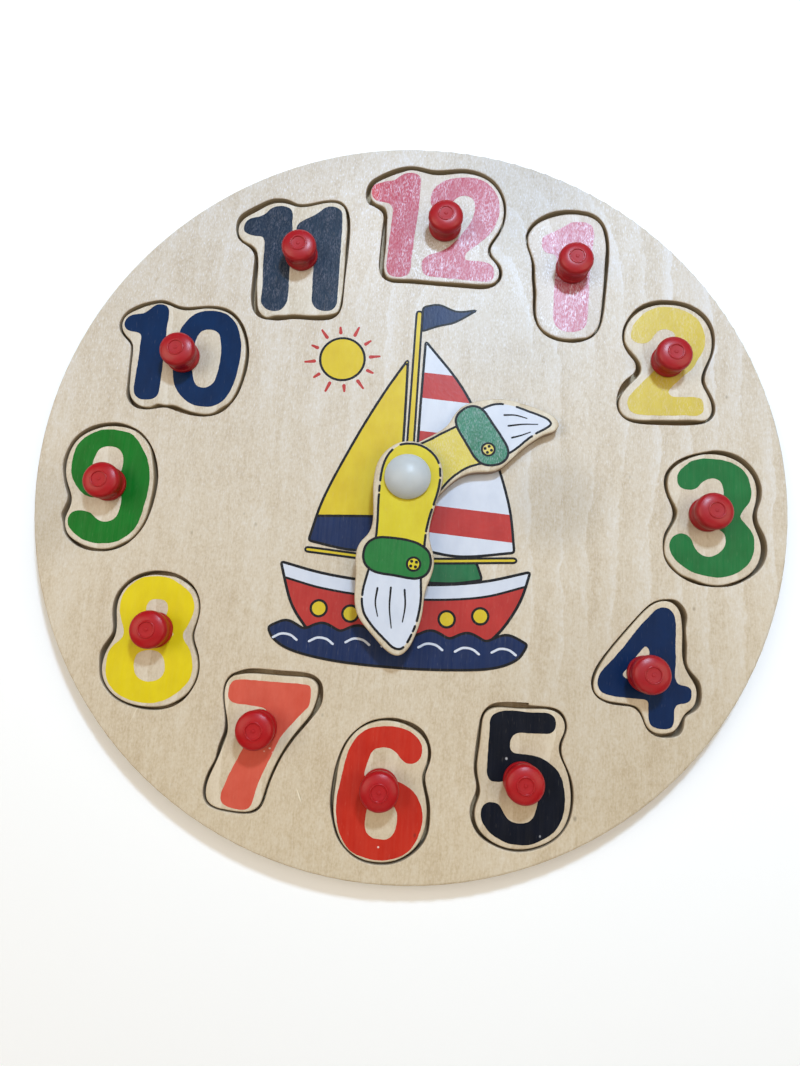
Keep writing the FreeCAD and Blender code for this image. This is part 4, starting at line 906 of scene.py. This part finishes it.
def print_hand(name, body, outline, cuff, top, e, at, button_at, gaps, strokes):
    """Sleeve, cuff, button and pale tip of a hand. outline is the black line
    round the print, cuff the closed band across it, e the way the hand
    points and at the middle of the cuff."""
    loop = smooth_loop(outline, 0.7, 0.05, len(name))
    fill = inset(loop, 0.1)
    near = (at[0] - e[0] * 3.0, at[1] - e[1] * 3.0)
    far = (at[0] + e[0] * 3.0, at[1] + e[1] * 3.0)
    sleeve = clip(fill, near, (-e[0], -e[1]))
    leaf = clip(fill, far, e)
    axle = circle(0, 0, 3.6, 32)
    print_on(name + "_sleeve_print", [[sleeve, axle]], top + 0.02, HAND_YELLOW[name], body)
    print_on(name + "_tip_print", [[leaf]], top + 0.02, WHITE, body)
    band = smooth_loop(cuff, 0.7, 0.05, len(name) + 3)
    print_on(name + "_band_print", [[band]], top + 0.06, HAND_GREEN[name], body)
    lines = worn_line(loop, 0.92, gaps)
    print_on(name + "_outline_print", lines, top + 0.04, BLACK, body)
    print_on(name + "_band_outline", [ribbon_loops(band, 0.95, True)], top + 0.08, BLACK, body)
    bx, by = button_at
    ux, uy = -e[1], e[0]
    print_on(name + "_button_rim", [[circle(bx, by, 2.95)]], top + 0.08, BLACK, body, 0.01)
    print_on(name + "_button_print", [[circle(bx, by, 2.1)]], top + 0.095, HAND_YELLOW[name], body, 0.01)
    holes = []
    for a, b in ((1, 1), (-1, 1), (-1, -1), (1, -1)):
        hx = bx + 0.92 * (a * ux + b * e[0])
        hy = by + 0.92 * (a * uy + b * e[1])
        holes.append([circle(hx, hy, 0.62, 16)])
    print_on(name + "_button_holes", holes, top + 0.11, BLACK, body, 0.01)
    out = [ribbon_loops(open_spline(s), 0.8, taper=(1.0, 0.55)) for s in strokes]
    print_on(name + "_tip_strokes", out, top + 0.04, BLACK, body)


def unit(x, y):
    d = math.hypot(x, y)
    return (x / d, y / d)


# The hour hand's yellow and green are the minute hand's inks made bluer, with painted glints: painted sheen.
HAND_YELLOW = {"minute": ink("ink_minute_yellow", (204, 188, 30), (196, 176, 18), fade=0.06, speck=0.06),
               "hour": ink("ink_hour_yellow", (202, 184, 44), (194, 172, 30), fade=0.10, speck=0.06, sparkle=1.2, painted_glint=0.2, gloss=0.4)}
HAND_GREEN = {"minute": ink("ink_minute_green", (26, 114, 46), (20, 103, 40), fade=0.05, speck=0.05),
              "hour": ink("ink_hour_green", (30, 116, 84), (22, 103, 70), fade=0.10, speck=0.06, sparkle=1.8, painted_glint=0.22, gloss=0.28)}
MINUTE_PRINT = [
    (-0.2, 13.4), (4.5, 12.8), (8.6, 10.4), (11.3, 7.0), (12.4, 2.7), (12.4, -1.7), (11.5, -7.0), (9.9, -12.8),
    (8.7, -18.5), (8.2, -23.7), (8.1, -27.0), (7.8, -33.0), (7.6, -38.8), (8.0, -44.8), (7.7, -51.4), (6.4, -57.3),
    (4.5, -62.0), (1.6, -65.4), (-1.4, -64.8), (-3.6, -63.0), (-6.8, -60.2), (-10.2, -56.7), (-12.7, -53.2),
    (-13.9, -48.6), (-13.6, -43.0), (-12.5, -37.8), (-11.2, -31.0), (-10.5, -24.3), (-10.3, -18.9), (-10.5, -11.1),
    (-10.5, -4.1), (-10.2, 1.4), (-9.0, 6.6), (-6.6, 10.5), (-3.6, 12.7)]
MINUTE_CUFF = [
    (-6.2, -24.1), (0.6, -24.5), (6.8, -26.2), (10.0, -28.9), (10.9, -32.8), (9.9, -36.6), (6.6, -38.8), (0.8, -38.7),
    (-5.1, -38.1), (-10.7, -37.1), (-13.9, -34.5), (-14.7, -30.8), (-13.6, -27.0), (-10.4, -24.6)]
HOUR_PRINT = [
    (4.0, 14.8), (8.0, 17.1), (11.5, 19.3), (14.6, 21.2), (17.8, 23.1), (21.4, 26.4), (24.6, 29.2), (28.0, 31.2),
    (31.0, 32.7), (34.4, 33.5), (38.0, 33.4), (41.4, 32.7), (44.8, 31.6), (48.2, 30.5), (51.4, 29.5), (54.0, 28.2),
    (55.2, 26.6), (53.8, 24.9), (51.2, 23.3), (48.4, 21.4), (45.8, 19.2), (43.4, 16.9), (41.2, 14.9), (38.6, 13.0),
    (33.0, 10.0), (27.1, 8.1), (23.2, 6.5), (19.9, 4.3), (16.9, 1.6), (14.5, -1.3), (12.3, -4.3), (9.2, -7.6),
    (4.6, -9.8), (-1.0, -10.4), (-6.6, -8.0), (-9.9, -2.8), (-9.4, 3.6), (-5.6, 9.0), (0.0, 12.4)]
HOUR_CUFF = [
    (23.2, 31.8), (26.4, 31.5), (28.6, 29.9), (30.6, 27.3), (33.4, 23.4), (36.2, 19.4), (38.3, 15.8), (38.8, 12.8),
    (37.0, 9.7), (33.2, 8.1), (28.9, 8.4), (26.3, 10.2), (23.6, 13.9), (20.8, 18.3), (18.3, 22.5), (17.5, 26.2),
    (19.5, 29.7)]
print_hand("minute", "minute_hand", MINUTE_PRINT, MINUTE_CUFF, 17.75, unit(-0.13, -1.0), (-2.0, -31.4), (4.5, -33.6),
           [(-5.3, 12.0, 1.5), (-10.4, -2.9, 0.7), (-10.4, -7.0, 0.6), (12.2, 5.2, 0.8), (12.6, 0.6, 0.6),
            (10.4, -11.2, 0.9), (8.3, -21.6, 0.6), (6.9, -55.6, 0.8), (5.7, -59.4, 0.6), (3.4, -63.8, 0.7),
            (-13.9, -47.0, 0.5)],
           [[(-8.4, -43.5), (-8.8, -49.0), (-7.6, -54.0)], [(-3.4, -43.0), (-3.4, -50.5), (-2.2, -58.0)],
            [(1.8, -43.5), (2.4, -49.5), (1.8, -55.5)]])
print_hand("hour", "hour_hand", HOUR_PRINT, HOUR_CUFF, 13.35, unit(0.845, 0.535), (28.6, 20.2), (30.9, 14.4),
           [(37.4, 33.6, 1.3), (40.6, 33.0, 0.6), (48.6, 21.6, 0.7)],
           [[(36.6, 29.0), (41.0, 29.2), (45.6, 28.2)], [(38.4, 24.6), (44.0, 25.6), (50.0, 26.0)],
            [(40.0, 19.8), (43.6, 21.0), (47.2, 22.6)]])


# ------------------------------------------------------------------ centre picture: a toy sailing boat
FACE_MM = 9.0
_level = [0.015]


def layer():
    _level[0] += 0.006
    return FACE_MM + _level[0]


def fill(name, mat, *loops):
    return print_on(name, [[l] for l in loops], layer(), mat, "dial", 0.02)


def lines(name, width, *paths):
    out = []
    for path, closed in paths:
        out.append(ribbon_loops(path, width, closed))
    for k, reg in enumerate(out):
        print_on(name if len(out) == 1 else "%s_%d" % (name, k + 1), [reg], layer(), BLACK, "dial", 0.02)


def poly(points, step=0.9):
    """Closed outline with straight or curved sides: points marked with a
    third value 1 are corners."""
    out = []
    n = len(points)
    corner = [i for i in range(n) if len(points[i]) > 2]
    if not corner:
        return smooth_loop([p[:2] for p in points], step)
    for a, b in zip(corner, corner[1:] + [corner[0] + n]):
        seg = [points[i % n][:2] for i in range(a, b + 1)]
        out += open_spline(seg, step)[:-1]
    # round the corners off a little
    p = np.array(out)
    for _ in range(2):
        p = 0.5 * p + 0.25 * (np.roll(p, 1, 0) + np.roll(p, -1, 0))
    return [tuple(v) for v in p]


sea = poly([(-50, -60.5, 1), (-43, -57.5), (-36, -60.5, 1), (-29, -57.6), (-22, -60.5, 1), (-15, -57.6), (-8, -60.5, 1),
            (-1, -57.6), (6, -60.5, 1), (13, -57.6), (20, -60.5, 1), (27, -57.6), (34, -60.5, 1), (42, -57.4), (50, -60.5, 1),
            (46, -66.5), (36, -70.5), (18, -72.2), (-2, -72.6), (-24, -71.6), (-40, -68.8), (-47.5, -64.8)])
hull = poly([(-47.5, -35.0, 1), (-30, -38.6), (-10, -40.4), (12, -40.2), (32, -37.6), (50.0, -32.6, 1),
             (46.6, -44.0), (41.0, -54.0), (34.5, -61.5, 1), (12, -63.4), (-12, -63.4), (-34, -61.5, 1), (-41.8, -51.0)])
strake = poly([(-47.5, -35.0, 1), (-30, -38.6), (-10, -40.4), (12, -40.2), (32, -37.6), (50.0, -32.6, 1),
               (48.8, -38.4, 1), (32, -43.6), (12, -46.0), (-10, -46.2), (-30, -44.4), (-45.2, -41.2, 1)])
cabin = poly([(10.5, -39.5, 1), (10.5, -30.5, 1), (29.0, -30.5, 1), (31.5, -37.0, 1), (21, -39.0)])
main_sail = poly([(3.4, 60.5, 1), (3.0, 30.0), (3.0, 0.0), (3.4, -26.0, 1), (22, -28.4), (43.5, -25.5, 1),
                  (40.4, -6.0), (32.0, 18.0), (19.6, 41.0)])
jib = poly([(-3.4, 52.0, 1), (-3.0, 26.0), (-3.0, 0.0), (-3.4, -27.0, 1), (-20.0, -28.6), (-37.5, -26.0, 1),
            (-32.8, -8.0), (-22.6, 16.0), (-12.4, 36.5)])
mast = poly([(-1.5, -38.0, 1), (1.5, -38.0, 1), (1.2, 73.6, 1), (-1.2, 73.6, 1)])
boom = poly([(-38.5, -28.6, 1), (-38.5, -30.4, 1), (0, -32.2), (44.5, -29.4, 1), (44.5, -27.6, 1), (0, -30.4)])
pennant = poly([(1.3, 75.6, 1), (8.0, 77.0), (15.5, 74.4), (24.0, 75.6, 1), (15.0, 69.6), (8.5, 67.6), (1.3, 64.6, 1)])
sun = circle(-30.5, 50.5, 9.2, 44)


def band_of(loop, a, b, tilt=0.0):
    """Strip of the loop between heights a and b (mm)."""
    low = clip(loop, (0, a), unit(tilt, 1.0))
    return clip(low, (0, b), unit(-tilt, -1.0))


rays = []
for k in range(12):
    a = math.radians(30 * k + 8)
    r0, r1 = 11.6, 15.4 if k % 2 == 0 else 14.0
    rays.append([(-30.5 + r0 * math.cos(a), 50.5 + r0 * math.sin(a)),
                 (-30.5 + 0.5 * (r0 + r1) * math.cos(a), 50.5 + 0.5 * (r0 + r1) * math.sin(a)),
                 (-30.5 + r1 * math.cos(a), 50.5 + r1 * math.sin(a))])
fill("boat_sun", YELLOW, sun)
lines("boat_sun_outline", 1.0, (sun, True))
for k, r in enumerate(rays):
    print_on("boat_sun_ray_%02d" % (k + 1), [ribbon_loops(r, 1.5, taper=(1.0, 0.6))], FACE_MM + 0.03, RED, "dial", 0.02)
fill("boat_mast", YELLOW, mast)
lines("boat_mast_outline", 0.9, (mast, True))
fill("boat_pennant", NAVY, pennant)
lines("boat_pennant_outline", 0.9, (pennant, True))
fill("boat_cabin", GREEN, cabin)
lines("boat_cabin_outline", 1.0, (cabin, True))
fill("boat_main_sail", WHITE, main_sail)
for k, (a, b) in enumerate(((36.0, 47.0), (10.0, 22.0), (-19.0, -8.0))):
    fill("boat_main_stripe_%d" % (k + 1), RED, inset(band_of(main_sail, a, b, 0.06), 0.0))
lines("boat_main_sail_outline", 1.05, (main_sail, True))
fill("boat_jib", YELLOW, jib)
fill("boat_jib_panel", NAVY, band_of(jib, -40.0, -14.0, -0.05))
lines("boat_jib_outline", 1.05, (jib, True), (open_spline([(-34.6, -15.9), (-20.0, -15.0), (-3.2, -14.2)]), False))
fill("boat_boom", YELLOW, boom)
lines("boat_boom_outline", 0.9, (boom, True))
fill("boat_hull", RED, hull)
fill("boat_strake", WHITE, strake)
lines("boat_hull_outline", 1.1, (hull, True))
lines("boat_strake_line", 0.9, (open_spline([(-45.0, -41.2), (-30, -44.4), (-10, -46.2), (12, -46.0), (32, -43.6), (48.6, -38.4)]), False))
for k, (px, py) in enumerate(((-31.0, -52.2), (-18.6, -53.4), (18.6, -53.0), (31.4, -51.0))):
    fill("boat_porthole_%d" % (k + 1), YELLOW, circle(px, py, 3.1))
    lines("boat_porthole_ring_%d" % (k + 1), 0.95, (circle(px, py, 3.1), True))
fill("boat_sea", NAVY, sea)
lines("boat_sea_outline", 1.0, (sea, True))
foam = []
for k in range(7):
    x0 = -43 + 14 * k
    y0 = -64.0 - (0.6 if k % 2 else 0.0)
    foam.append(open_spline([(x0 - 4.6, y0 - 0.4), (x0 - 1.5, y0 + 1.2), (x0 + 2.0, y0 + 0.9), (x0 + 4.6, y0 - 0.8)]))
for k, f in enumerate(foam):
    print_on("boat_foam_%d" % (k + 1), [ribbon_loops(f, 1.25, taper=(0.7, 0.7))], layer(), WHITE, "dial", 0.02)

# ------------------------------------------------------------------ floor, light
floor_mat = Nodes("floor")
fn = floor_mat.noise(floor_mat.at((0.004, 0.004, 0.004)), 2.0)
floor_mat.shader(floor_mat.mix((0.95, 0.95, 0.95), (0.97, 0.97, 0.97), fn), 0.9)
bpy.ops.mesh.primitive_plane_add(size=6.0, location=(0, 0, -0.0006))
floor = bpy.context.object
floor.name = "floor"
floor.data.materials.append(floor_mat.mat)


def area(name, at, aim, size, power, color=(1, 1, 1), size_y=None):
    d = bpy.data.lights.new(name, "AREA")
    d.energy = power
    d.color = color
    d.size = size
    if size_y:
        d.shape = "RECTANGLE"
        d.size_y = size_y
    o = bpy.data.objects.new(name, d)
    scene.collection.objects.link(o)
    v = Vector(aim) - Vector(at)
    o.matrix_world = Matrix.Translation(at) @ v.to_track_quat("-Z", "Y").to_matrix().to_4x4()
    return o


LIGHTS = [
    # name, place, aim, width, depth, watts, colour
    ("window", (0.11, 0.43, 0.60), (0.02, 0.03, 0.0), 0.10, 0.07, 4.3, (0.57, 0.765, 1.0)),
    ("sky", (0.0, 0.30, 1.25), (0.0, 0.0, 0.0), 1.6, 1.2, 4.0, (0.90, 0.94, 1.0)),
    ("room", (0.0, -0.9, 0.90), (0.0, -0.05, 0.0), 1.2, 0.7, 2.6, (1.0, 0.87, 0.67)),
    ("left", (-0.85, 0.05, 0.85), (0.0, 0.0, 0.0), 0.8, 0.8, 6.0, (1.0, 0.87, 0.68)),
    ("right", (0.85, 0.05, 0.85), (0.0, 0.0, 0.0), 0.8, 0.8, 4.6, (1.0, 0.87, 0.68)),
]
for name, at, aim, sx, sy, watts, color in LIGHTS:
    if watts > 0.0:
        area(name, at, aim, sx, watts, color, sy)
WORLD = ((1.0, 0.93, 0.82), 0.07)
world = bpy.data.worlds.new("world")
world.use_nodes = True
bg = world.node_tree.nodes.get("Background") or world.node_tree.nodes.new("ShaderNodeBackground")
bg.inputs[0].default_value = WORLD[0] + (1.0,)
bg.inputs[1].default_value = WORLD[1]
scene.world = world
